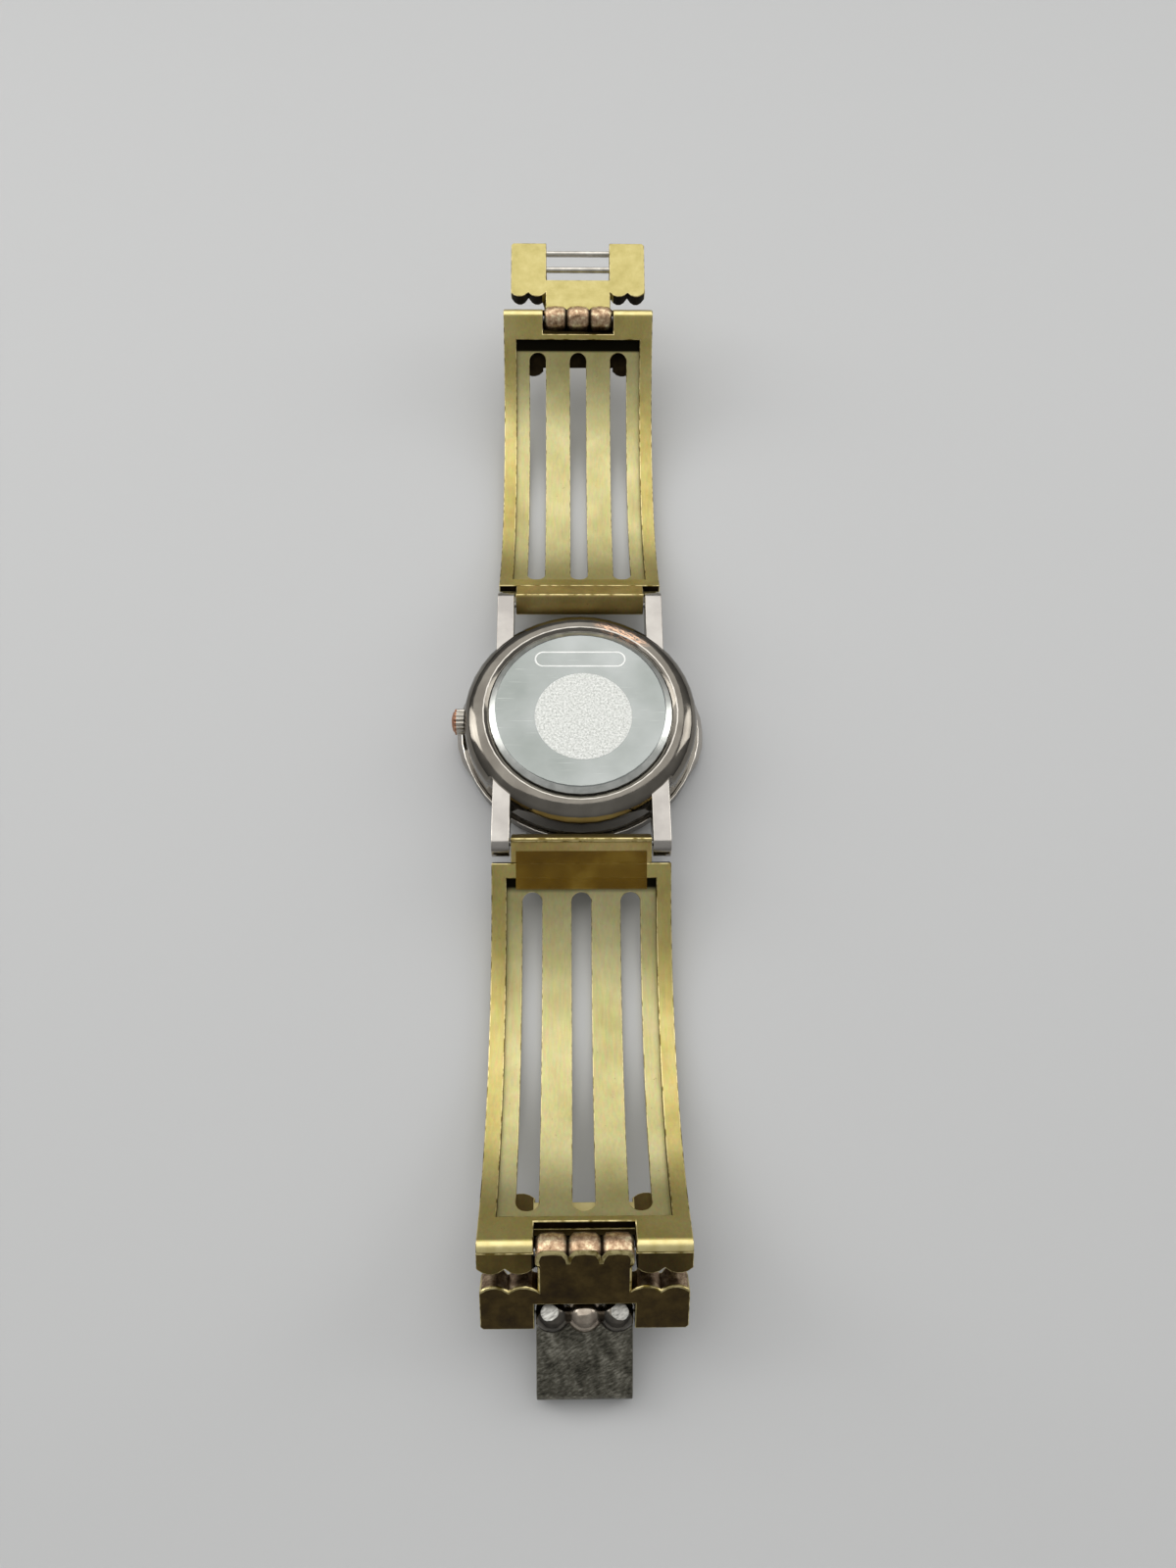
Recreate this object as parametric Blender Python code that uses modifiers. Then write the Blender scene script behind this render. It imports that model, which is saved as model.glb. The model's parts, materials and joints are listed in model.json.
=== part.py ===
"""A wristwatch lying face down on its open bracelet.

The crystal rests on the ground at the origin, the case back faces up (+Z) and twelve o'clock points along +Y.
Each bracelet panel hangs on a spring bar, curves with the wrist and touches the ground in its middle.
"""
import math

import bmesh
import bpy
from mathutils import Matrix

MM = 0.001

# Fits between pieces
RUN_FIT = 0.08 * MM
SEAT_GAP = 0.05 * MM
SIDE_GAP = 0.25 * MM

# Case, seen from the ground up
CRYSTAL_R = 13.6 * MM
CRYSTAL_T = 1.5 * MM
CRYSTAL_PROUD = 0.3 * MM
CRYSTAL_EDGE = 0.25 * MM
GASKET_WALL = 0.35 * MM
BEZEL_OUT = 0.5 * MM
BEZEL_T = 2.8 * MM
BEZEL_SLOPE = 0.9 * MM
BEZEL_LIP = 1.5 * MM
CASE_R = 17.1 * MM
CASE_H = 6.25 * MM
CASE_FOOT = 0.4 * MM
RING_DOME_W = 3.0 * MM
RING_DOME_H = 2.5 * MM
CASE_BORE_R = 12.9 * MM
BACK_R = 13.3 * MM
BACK_PROUD = 0.5 * MM
BACK_T = 1.1 * MM
BACK_BEVEL_W = 0.85 * MM
BACK_BEVEL_H = 0.5 * MM
BACK_STEP_W = 0.35 * MM
BACK_STEP_H = 0.12 * MM
BACK_SKIRT_T = 0.6 * MM
BACK_SKIRT_H = 0.8 * MM
SEAL_T = 0.35 * MM
SHOULDER_OUT = 1.35 * MM
SHOULDER_ANGLE = math.radians(23.0)
SHOULDER_FOOT = 0.8 * MM
SHOULDER_SLOPE_W = 0.75 * MM
SHOULDER_SLOPE_H = 0.8 * MM

# Lugs
LUG_GAP = 20.0 * MM
LUG_W = 2.5 * MM
LUG_TIP_R = 1.9 * MM
LUG_ROOT_DROP = 3.1 * MM
LUG_TOP_SLOPE = 0.25 * MM
LUG_HOLE_DEPTH = 1.3 * MM
HINGE_OUT = 2.6 * MM

# Spring bars
BAR_TUBE_R = 0.72 * MM
BAR_BORE_R = 0.5 * MM
BAR_BORE_DEPTH = 3.2 * MM
BAR_TIP_R = 0.4 * MM
BAR_TIP_IN = 2.0 * MM
BAR_TIP_OUT = 1.0 * MM

# Hands, dial and movement
DIAL_T = 0.35 * MM
DIAL_HOLE_R = 1.2 * MM
MARKER_L = 2.2 * MM
MARKER_W = 0.6 * MM
MARKER_H = 0.18 * MM
MARKER_COUNT = 12
MARKER_R = 10.2 * MM
ARBOR_R = (1.0 * MM, 0.66 * MM, 0.32 * MM)
HAND_T = 0.2 * MM
HAND_PITCH = 0.45 * MM
HAND_HUB = 0.55 * MM
HAND_W = (1.2 * MM, 0.95 * MM, 0.35 * MM)
HAND_L = (6.2 * MM, 9.4 * MM, 10.6 * MM)
HAND_TAIL = (1.9 * MM, 1.9 * MM, 3.4 * MM)
HAND_ANGLE = (math.radians(305.0), math.radians(60.0), math.radians(180.0))
MOVEMENT_R = 11.4 * MM
MOVEMENT_T = 3.7 * MM
HOLDER_GAP = 0.15 * MM
HOLDER_TOP = 0.4 * MM
CELL_R = 4.75 * MM
CELL_T = 2.0 * MM
CELL_X = 3.6 * MM
CELL_Y = -4.2 * MM
CLAMP_T = 0.25 * MM
CLAMP_W = 2.6 * MM
CLAMP_REACH = 6.2 * MM
SCREW_HEAD_R = 0.9 * MM
SCREW_HEAD_T = 0.4 * MM
SCREW_R = 0.45 * MM
SCREW_L = 1.6 * MM
COIL_R = 1.1 * MM
COIL_L = 9.0 * MM
COIL_FLANGE_R = 1.45 * MM
COIL_FLANGE_T = 0.5 * MM
COIL_Y = 6.6 * MM
COIL_X = 1.5 * MM

# Crown and its stem, on the nine o'clock side
CROWN_R = 1.9 * MM
CROWN_L = 2.0 * MM
CROWN_TEETH = 18
CROWN_TOOTH = 0.16 * MM
CROWN_EDGE = 0.3 * MM
CROWN_CAP_R = 1.25 * MM
CROWN_CAP_T = 0.35 * MM
CROWN_GAP = 0.15 * MM
CROWN_SINK = 0.5 * MM
CROWN_PULL = 1.0 * MM
CROWN_SKIRT = 1.0 * MM
STEM_R = 0.45 * MM
STEM_HEIGHT = 2.1 * MM
STEM_GRIP = 1.4 * MM
STEM_INNER_X = 5.6 * MM
TUBE_WALL = 0.45 * MM
TUBE_PROUD = 0.5 * MM
LEVER_L = 1.2 * MM
LEVER_W = 2.6 * MM
LEVER_H = 1.9 * MM
LEVER_X = 8.3 * MM

# Bracelet panels, measured along the curve from the shoulder beside the lugs
PANEL_W = 24.9 * MM
PANEL_L = 53.8 * MM
PANEL_TILT = math.radians(29.5)
ARC_R = 39.5 * MM
ARC_STEP = 3.0 * MM
FRAME_T = 1.2 * MM
GRILLE_T = 1.0 * MM
RAIL_W = 2.1 * MM
WINDOW_START = 2.1 * MM
WINDOW_BACK = 4.6 * MM
LIP_R = 1.1 * MM
GRILLE_INSET = 0.45 * MM
SLOT_START = 4.1 * MM
SLOT_BACK = 6.5 * MM
SLOT_W = 2.75 * MM
SLOT_PITCH = 6.83 * MM
SLOT_EASE = 0.03 * MM
SLOT_COUNT = 3
HINGE_REACH = 2.5 * MM
HINGE_DROP = 2.1 * MM
LUG_BAR_BACK = 1.2 * MM
LUG_BAR_T = 3.5 * MM
LUG_BAR_RIDGE_W = 0.9 * MM
LUG_BAR_RIDGE_H = 0.2 * MM

# End blocks and links share one row of ribs: two, three, two
RIB_SIDE_COUNT = 2
RIB_MID_COUNT = 3
RIB_DEPTH = 0.75 * MM
RIB_STEPS = 5
RIB_END = 0.75 * MM
BLOCK_L = 9.5 * MM
BLOCK_T = 0.75 * MM
BLOCK_MID_BACK = 0.6 * MM
PIN_SET_BACK = 1.4 * MM
PIN_DEPTH = 2.2 * MM
PIN_R = 0.55 * MM
PIN_BITE = 3.6 * MM
NOTCH_W = 11.85 * MM
KNUCKLE_R = 2.1 * MM
KNUCKLE_WAIST = 0.6 * MM
KNUCKLE_ROUND = 0.16
KNUCKLE_FLANK = 0.15
KNUCKLE_ROOM = 0.2 * MM
LINK_ARM_START = 4.4 * MM
LINK_CORNER = 0.35 * MM
CATCH_LINK_L = 13.9 * MM
CATCH_LINK_SIDE = 1.15 * MM
CATCH_LINK_TOP = 1.0 * MM
CATCH_LINK_WEB = 1.7 * MM
CATCH_NOTCH_U = 6.8 * MM
CATCH_NOTCH_W = 10.8 * MM
CATCH_TILT = math.radians(12.0)
CATCH_PIN_R = 0.5 * MM
CATCH_PIN_BITE = 1.5 * MM
CATCH_PIN_U = (9.5 * MM, 12.6 * MM)
CATCH_PIN_N = -0.1 * MM
HOOK_LINK_L = 10.0 * MM
HOOK_LINK_SIDE = 0.25 * MM
HOOK_LINK_TOP = 1.6 * MM
HOOK_LINK_WEB = 2.8 * MM
HOOK_NOTCH_U = 6.3 * MM
HOOK_LINK_TILT = math.radians(-45.0)
HOOK_PIN_U = 8.9 * MM
HOOK_KNUCKLE_R = 2.0 * MM
HOOK_WAIST = 0.95 * MM
HOOK_PIN_N = 0.5 * MM
HOOK_T = 1.0 * MM
HOOK_TOP = 0.55 * MM
HOOK_BEND_V = 9.1 * MM
HOOK_BEND_R = 0.75 * MM
HOOK_LIP = 2.0 * MM

ROUND = 48
RING = 32
FINE = 24
COARSE = 16
ROD_PHASE = math.radians(5.0)
FLAT_ANGLE = math.radians(0.3)

# Sizes and heights that follow from those above
BEZEL_R = CASE_R + BEZEL_OUT
SHOULDER_R = CASE_R + SHOULDER_OUT
HINGE_Y = CASE_R + HINGE_OUT
WINDOW_END = PANEL_L - WINDOW_BACK
SLOT_END = PANEL_L - SLOT_BACK
BEZEL_Z = CRYSTAL_PROUD
CASE_Z = BEZEL_Z + BEZEL_T + SEAT_GAP
CASE_TOP = CASE_Z + CASE_H
BACK_TOP = CASE_TOP + BACK_PROUD
BACK_UNDER = BACK_TOP - BACK_T
LEDGE_Z = BACK_UNDER - SEAL_T - 2 * SEAT_GAP
DIAL_Z = CASE_Z
MOVEMENT_Z = DIAL_Z + DIAL_T + SEAT_GAP
MOVEMENT_TOP = MOVEMENT_Z + MOVEMENT_T
STEM_Z = MOVEMENT_Z + STEM_HEIGHT
PANEL_T = FRAME_T + SEAT_GAP + GRILLE_T
KNUCKLE_W = NOTCH_W - 2 * SIDE_GAP
CATCH_LINK_W = PANEL_W - 2 * CATCH_LINK_SIDE
HOOK_LINK_W = PANEL_W - 2 * HOOK_LINK_SIDE
PIN_S = PANEL_L - PIN_SET_BACK
NOTCH_S = PIN_S - KNUCKLE_R - KNUCKLE_ROOM
BLOCK_TOP = PANEL_T + SEAT_GAP
BLOCK_S = PANEL_L - BLOCK_L
ARC_CENTRE_Y = HINGE_REACH * math.cos(PANEL_TILT) + (HINGE_DROP + ARC_R) * math.sin(PANEL_TILT)
ARC_CENTRE_Z = (HINGE_DROP + ARC_R) * math.cos(PANEL_TILT) - HINGE_REACH * math.sin(PANEL_TILT)
HINGE_Z = ARC_R + PANEL_T - ARC_CENTRE_Z

parts = None
cutters = None


def clear_scene():
    """Empty the scene and make the two collections."""
    global parts, cutters
    for item in list(bpy.data.objects):
        bpy.data.objects.remove(item, do_unlink=True)
    parts = bpy.data.collections.new("wristwatch")
    cutters = bpy.data.collections.new("cutters")
    for group in (parts, cutters):
        bpy.context.scene.collection.children.link(group)


def finish(colour, roughness, metallic, name):
    """A plain material with one colour."""
    material = bpy.data.materials.new(name)
    material.use_nodes = True
    shader = material.node_tree.nodes["Principled BSDF"]
    shader.inputs["Base Color"].default_value = (*colour, 1.0)
    shader.inputs["Roughness"].default_value = roughness
    shader.inputs["Metallic"].default_value = metallic
    return material


def tidy(mesh):
    """Weld a mesh's loose seams and turn its faces outwards."""
    form = bmesh.new()
    form.from_mesh(mesh)
    bmesh.ops.remove_doubles(form, verts=form.verts, dist=1e-7)
    bmesh.ops.recalc_face_normals(form, faces=form.faces)
    form.to_mesh(mesh)
    form.free()
    return mesh


def evaluated(item):
    """The mesh of an object after its modifiers."""
    graph = bpy.context.evaluated_depsgraph_get()
    graph.update()
    return bpy.data.meshes.new_from_object(item.evaluated_get(graph))


SIDE = Matrix(((0, 0, 1, 0), (1, 0, 0, 0), (0, 1, 0, 0), (0, 0, 0, 1)))
PLAN = Matrix.Identity(4)
SECTION = Matrix(((1, 0, 0, 0), (0, 0, -1, 0), (0, 1, 0, 0), (0, 0, 0, 1)))


def outline(points, thickness, plane, offset=(0.0, 0.0, 0.0)):
    """A flat outline given thickness both ways: SIDE is (y, z), PLAN is (x, y) and SECTION is (x, z)."""
    curve = bpy.data.curves.new("outline", "CURVE")
    curve.dimensions = "2D"
    curve.fill_mode = "BOTH"
    curve.extrude = thickness / 2
    spline = curve.splines.new("POLY")
    spline.points.add(len(points) - 1)
    for knot, (across, up) in zip(spline.points, points):
        knot.co = (across, up, 0.0, 1.0)
    spline.use_cyclic_u = True
    item = bpy.data.objects.new("outline", curve)
    cutters.objects.link(item)
    mesh = evaluated(item)
    bpy.data.objects.remove(item, do_unlink=True)
    mesh.transform(Matrix.Translation(offset) @ plane)
    return tidy(mesh)


def turned(profile, steps, along="Z", closed=False, offset=(0.0, 0.0, 0.0), phase=0.0):
    """A profile of (radius, height) points swept round an axis by a Screw modifier."""
    mesh = bpy.data.meshes.new("profile")
    count = len(profile)
    edges = [(k, k + 1) for k in range(count - 1)]
    if closed:
        edges.append((count - 1, 0))
    mesh.from_pydata([(radius, 0.0, height) for radius, height in profile], edges, [])
    item = bpy.data.objects.new("profile", mesh)
    cutters.objects.link(item)
    screw = item.modifiers.new("turn", "SCREW")
    screw.steps = steps
    screw.render_steps = steps
    screw.use_merge_vertices = True
    screw.merge_threshold = 1e-7
    solid = evaluated(item)
    bpy.data.objects.remove(item, do_unlink=True)
    solid.transform(Matrix.Rotation(phase, 4, "Z"))
    if along == "X":
        solid.transform(Matrix.Rotation(math.pi / 2, 4, "Y"))
    solid.transform(Matrix.Translation(offset))
    return tidy(solid)


def rod(radius, start, end, along="X", offset=(0.0, 0.0, 0.0), steps=COARSE):
    """A plain round rod between two places on an axis."""
    return turned([(0.0, end), (radius, end), (radius, start), (0.0, start)], steps, along, False, offset, ROD_PHASE)


def block(size, centre):
    """A plain box."""
    form = bmesh.new()
    bmesh.ops.create_cube(form, size=1.0)
    bmesh.ops.scale(form, vec=size, verts=form.verts)
    bmesh.ops.translate(form, vec=centre, verts=form.verts)
    mesh = bpy.data.meshes.new("block")
    form.to_mesh(mesh)
    form.free()
    return mesh


def piece(name, mesh, material, place=(0.0, 0.0, 0.0), turn=(0.0, 0.0, 0.0)):
    """A named part with its origin at its place."""
    mesh.name = name
    mesh.materials.clear()
    mesh.materials.append(material)
    item = bpy.data.objects.new(name, mesh)
    item.location = place
    item.rotation_euler = turn
    parts.objects.link(item)
    mesh.shade_smooth()
    mesh.set_sharp_from_angle(angle=math.radians(32.0))
    return item


def shape(item, operation, mesh, name):
    """Cut, join or trim a part with a hidden helper that moves with it."""
    helper = bpy.data.objects.new(item.name + "_" + name, mesh)
    cutters.objects.link(helper)
    helper.parent = item
    helper.hide_render = True
    helper.display_type = "WIRE"
    step = item.modifiers.new(name, "BOOLEAN")
    step.operation = operation
    step.solver = "EXACT"
    step.object = helper
    return helper


def copy_of(item, name, material, place, turn):
    """A second piece with the finished form of the first."""
    return piece(name, evaluated(item), material, place, turn)


def arc_point(along, depth):
    """A place on a panel: along the curve from the shoulder, and deep from the wrist side, seen from its hinge."""
    angle = along / ARC_R - PANEL_TILT
    reach = ARC_R + depth
    return ARC_CENTRE_Y + reach * math.sin(angle), ARC_CENTRE_Z - reach * math.cos(angle)


def tangent_point(along, up):
    """A place beside the hinge, in the direction of the panel's near end."""
    lean = -PANEL_TILT
    return along * math.cos(lean) - up * math.sin(lean), along * math.sin(lean) + up * math.cos(lean)


def stations(start, end):
    """Places along the curve on one shared grid, so that sheets and cuts have the same facets."""
    first = math.floor(start / ARC_STEP) + 1
    last = math.ceil(end / ARC_STEP)
    grid = [k * ARC_STEP for k in range(first, last)]
    return [start] + [along for along in grid if start + SIDE_GAP < along < end - SIDE_GAP] + [end]


def arc_band(start, end, top, bottom, lip=0.0):
    """The side outline of a curved sheet, with its outer top edge rounded by the lip."""
    upper = [arc_point(along, top) for along in stations(start, end - lip)]
    lower = [arc_point(along, bottom) for along in stations(start, end)]
    nose = []
    if lip:
        for k in range(1, 5):
            turn = math.pi / 2 * k / 4
            nose.append(arc_point(end - lip + lip * math.sin(turn), top + lip - lip * math.cos(turn)))
    return upper + nose + lower[::-1]


def rib_row(start, count, width, level, depth):
    """A row of round ribs that hang below a level, as points from left to right."""
    points = []
    for rib in range(count):
        for k in range(RIB_STEPS + (rib == count - 1)):
            share = k / RIB_STEPS
            drop = depth * math.sin(math.pi * share) ** 0.75 if 0 < k < RIB_STEPS else 0.0
            points.append((start + (rib + share) * width, level - drop))
    return points


def rib_section(top, level, width, notch, flat_middle):
    """The cross-section of a block or link: a flat wrist side and ribs on the front."""
    half = width / 2
    inner = notch / 2
    side_w = (half - inner) / RIB_SIDE_COUNT
    left = rib_row(-half, RIB_SIDE_COUNT, side_w, level, RIB_DEPTH)
    right = rib_row(inner, RIB_SIDE_COUNT, side_w, level, RIB_DEPTH)
    if flat_middle:
        middle = []
    else:
        middle = rib_row(-inner, RIB_MID_COUNT, notch / RIB_MID_COUNT, level, RIB_DEPTH)[1:-1]
    far = half + SIDE_GAP
    return [(-far, top), (-far, level)] + left + middle + right + [(far, level), (far, top)]


def arm_ends(start, width, place):
    """The scalloped inner end of one arm, as points from left to right."""
    return rib_row(start, RIB_SIDE_COUNT, width / RIB_SIDE_COUNT, place, RIB_END)


def link_plan(length, width, notch, floor):
    """The outline of a link seen from the wrist side: a tongue to the hinge and two arms beside a notch."""
    half = width / 2
    inner = notch / 2 - SEAT_GAP
    tongue = KNUCKLE_W / 2 - SIDE_GAP
    left = arm_ends(-half, half - tongue, LINK_ARM_START)
    right = arm_ends(tongue, half - tongue, LINK_ARM_START)
    outer = [(half, length - LINK_CORNER), (half - LINK_CORNER, length), (inner, length), (inner, floor)]
    mirrored = [(-x, u) for x, u in outer][::-1]
    return left + [(-tongue, 0.0), (tongue, 0.0)] + right + outer + mirrored


def knuckle(radius, width, waist):
    """Three drums in a row on the hinge's axis, with a groove between them."""
    profile = [(0.0, width / 2)]
    drum = width / RIB_MID_COUNT
    flank = radius - KNUCKLE_FLANK * waist
    steps = ((0.0, radius - waist), (KNUCKLE_ROUND, flank), (0.5, radius), (1.0 - KNUCKLE_ROUND, flank))
    for rib in range(RIB_MID_COUNT):
        profile += [(reach, width / 2 - (rib + share) * drum) for share, reach in steps]
    profile += [(radius - waist, -width / 2), (0.0, -width / 2)]
    return turned(profile, COARSE, "X")


def build_case(metal, steel, glass, rubber):
    """Case ring with lugs, bezel, crystal, case back and their seals."""
    dome = []
    for k in range(7):
        turn = math.pi / 2 * k / 6
        dome.append((CASE_R - RING_DOME_W + RING_DOME_W * math.sin(turn),
                     CASE_TOP - RING_DOME_H + RING_DOME_H * math.cos(turn)))
    seat_r = BACK_R + HOLDER_GAP
    profile = [(seat_r, CASE_TOP - BACK_STEP_W)] + dome
    profile += [(CASE_R, CASE_Z + CASE_FOOT), (CASE_R - CASE_FOOT, CASE_Z)]
    profile += [(CASE_BORE_R, CASE_Z), (CASE_BORE_R, LEDGE_Z), (seat_r, LEDGE_Z)]
    case = piece("mid_case", turned(profile, ROUND, closed=True), metal)

    lug_top = HINGE_Z + LUG_TIP_R
    root_y = CASE_BORE_R - LUG_W
    tip = []
    for k in range(11):
        turn = math.pi / 2 - math.radians(170.0) * k / 10
        tip.append((HINGE_Y + LUG_TIP_R * math.cos(turn), HINGE_Z + LUG_TIP_R * math.sin(turn)))
    side = [(root_y, lug_top - LUG_TOP_SLOPE)] + tip + [(root_y, HINGE_Z - LUG_ROOT_DROP)]
    inside = turned([(0.0, CASE_TOP), (CASE_R - RING_DOME_W, CASE_TOP), (CASE_R - RING_DOME_W, 0.0), (0.0, 0.0)], ROUND)
    for end in (1, -1):
        for hand in (1, -1):
            tag = ("upper" if end > 0 else "lower") + ("_right" if hand > 0 else "_left")
            middle = hand * (LUG_GAP + LUG_W) / 2
            arm = outline([(end * y, z) for y, z in side], LUG_W, SIDE, (middle, 0.0, 0.0))
            holder = bpy.data.objects.new("lug_" + tag, arm)
            cutters.objects.link(holder)
            holder.hide_render = True
            holder.display_type = "WIRE"
            core = shape(holder, "DIFFERENCE", inside.copy(), "core")
            core.parent = None
            step = case.modifiers.new("lug_" + tag, "BOOLEAN")
            step.operation = "UNION"
            step.object = holder

    for end in (1, -1):
        for hand in (1, -1):
            tag = ("upper" if end > 0 else "lower") + ("_right" if hand > 0 else "_left")
            span = sorted((hand * (LUG_GAP / 2 - SIDE_GAP), hand * (LUG_GAP / 2 + LUG_HOLE_DEPTH)))
            hole = rod(BAR_TIP_R + RUN_FIT, span[0], span[1], "X", (0.0, end * HINGE_Y, HINGE_Z), COARSE)
            shape(case, "DIFFERENCE", hole, "hole_" + tag)
    tube_r = STEM_R + RUN_FIT + TUBE_WALL
    bore = rod(tube_r + SEAT_GAP, -SHOULDER_R - CROWN_L, -CASE_BORE_R + SIDE_GAP, "X", (0.0, 0.0, STEM_Z))
    shape(case, "DIFFERENCE", bore, "crown_bore")
    room = rod(CROWN_R + SIDE_GAP, -SHOULDER_R - CROWN_L, -CASE_R + CROWN_SINK, "X", (0.0, 0.0, STEM_Z), RING)
    shape(case, "DIFFERENCE", room, "crown_room")

    seat = CRYSTAL_R + GASKET_WALL + 2 * SEAT_GAP
    lip_r = CASE_BORE_R - BEZEL_LIP / 2
    lip_z = CRYSTAL_T + SEAT_GAP
    bezel_top = BEZEL_Z + BEZEL_T
    profile = [(lip_r, bezel_top), (BEZEL_R, bezel_top), (BEZEL_R, BEZEL_Z + BEZEL_SLOPE)]
    profile += [(BEZEL_R - BEZEL_SLOPE, BEZEL_Z), (seat, BEZEL_Z), (seat, lip_z), (lip_r, lip_z)]
    bezel = piece("bezel", turned(profile, ROUND, closed=True), metal)
    root_r = BEZEL_R - BEZEL_SLOPE
    top_z = bezel_top - SEAT_GAP
    foot_z = BEZEL_Z + SHOULDER_FOOT
    profile = [(root_r, top_z), (SHOULDER_R - SHOULDER_SLOPE_W, top_z), (SHOULDER_R, top_z - SHOULDER_SLOPE_H)]
    profile += [(SHOULDER_R, foot_z), (root_r, foot_z)]
    ring = turned(profile, ROUND, closed=True)
    far = 2 * SHOULDER_R
    for hand in (1, -1):
        tag = "shoulder_" + ("right" if hand > 0 else "left")
        wedge = [(0.0, 0.0)]
        wedge.append((hand * far, -hand * far * math.tan(SHOULDER_ANGLE)))
        wedge.append((hand * far, hand * far * math.tan(SHOULDER_ANGLE)))
        helper = shape(bezel, "UNION", ring.copy(), tag)
        trim = shape(helper, "INTERSECT", outline(wedge, 4 * CASE_H, PLAN), "trim")
        trim.parent = None

    profile = [(0.0, CRYSTAL_T), (CRYSTAL_R, CRYSTAL_T), (CRYSTAL_R, CRYSTAL_EDGE)]
    profile += [(CRYSTAL_R - CRYSTAL_EDGE, 0.0), (0.0, 0.0)]
    piece("crystal", turned(profile, ROUND), glass)
    ring_in = CRYSTAL_R + SEAT_GAP
    profile = [(ring_in, CRYSTAL_T), (ring_in + GASKET_WALL, CRYSTAL_T)]
    profile += [(ring_in + GASKET_WALL, BEZEL_Z + SEAT_GAP), (ring_in, BEZEL_Z + SEAT_GAP)]
    piece("crystal_gasket", turned(profile, ROUND, closed=True), rubber)

    skirt_r = CASE_BORE_R - HOLDER_GAP
    flat_r = BACK_R - BACK_BEVEL_W - BACK_STEP_W
    profile = [(0.0, BACK_TOP), (flat_r, BACK_TOP), (flat_r + BACK_STEP_W, BACK_TOP - BACK_STEP_H)]
    profile += [(BACK_R, BACK_TOP - BACK_STEP_H - BACK_BEVEL_H), (BACK_R, BACK_UNDER), (skirt_r, BACK_UNDER)]
    profile += [(skirt_r, BACK_UNDER - BACK_SKIRT_H), (skirt_r - BACK_SKIRT_T, BACK_UNDER - BACK_SKIRT_H)]
    profile += [(skirt_r - BACK_SKIRT_T, BACK_UNDER), (0.0, BACK_UNDER)]
    piece("case_back", turned(profile, ROUND), steel)
    inner = CASE_BORE_R + SEAT_GAP
    profile = [(inner, LEDGE_Z + SEAT_GAP + SEAL_T), (BACK_R, LEDGE_Z + SEAT_GAP + SEAL_T)]
    profile += [(BACK_R, LEDGE_Z + SEAT_GAP), (inner, LEDGE_Z + SEAT_GAP)]
    piece("case_back_gasket", turned(profile, RING, closed=True), rubber)


def hand_outline(index):
    """A tapered hand with a round hub, pointing along +Y."""
    hub = ARBOR_R[index] + RUN_FIT + HAND_HUB
    half = HAND_W[index] / 2
    points = []
    shoulder = math.asin(min(0.95, half / hub))
    for start, stop in ((shoulder, math.pi - shoulder), (math.pi + shoulder, 2 * math.pi - shoulder)):
        for k in range(9):
            turn = start + (stop - start) * k / 8
            points.append((hub * math.sin(turn), hub * math.cos(turn)))
        if start < math.pi / 2:
            points += [(half, -HAND_TAIL[index]), (-half, -HAND_TAIL[index])]
        else:
            points += [(-half * 0.55, HAND_L[index]), (half * 0.55, HAND_L[index])]
    return points


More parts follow.
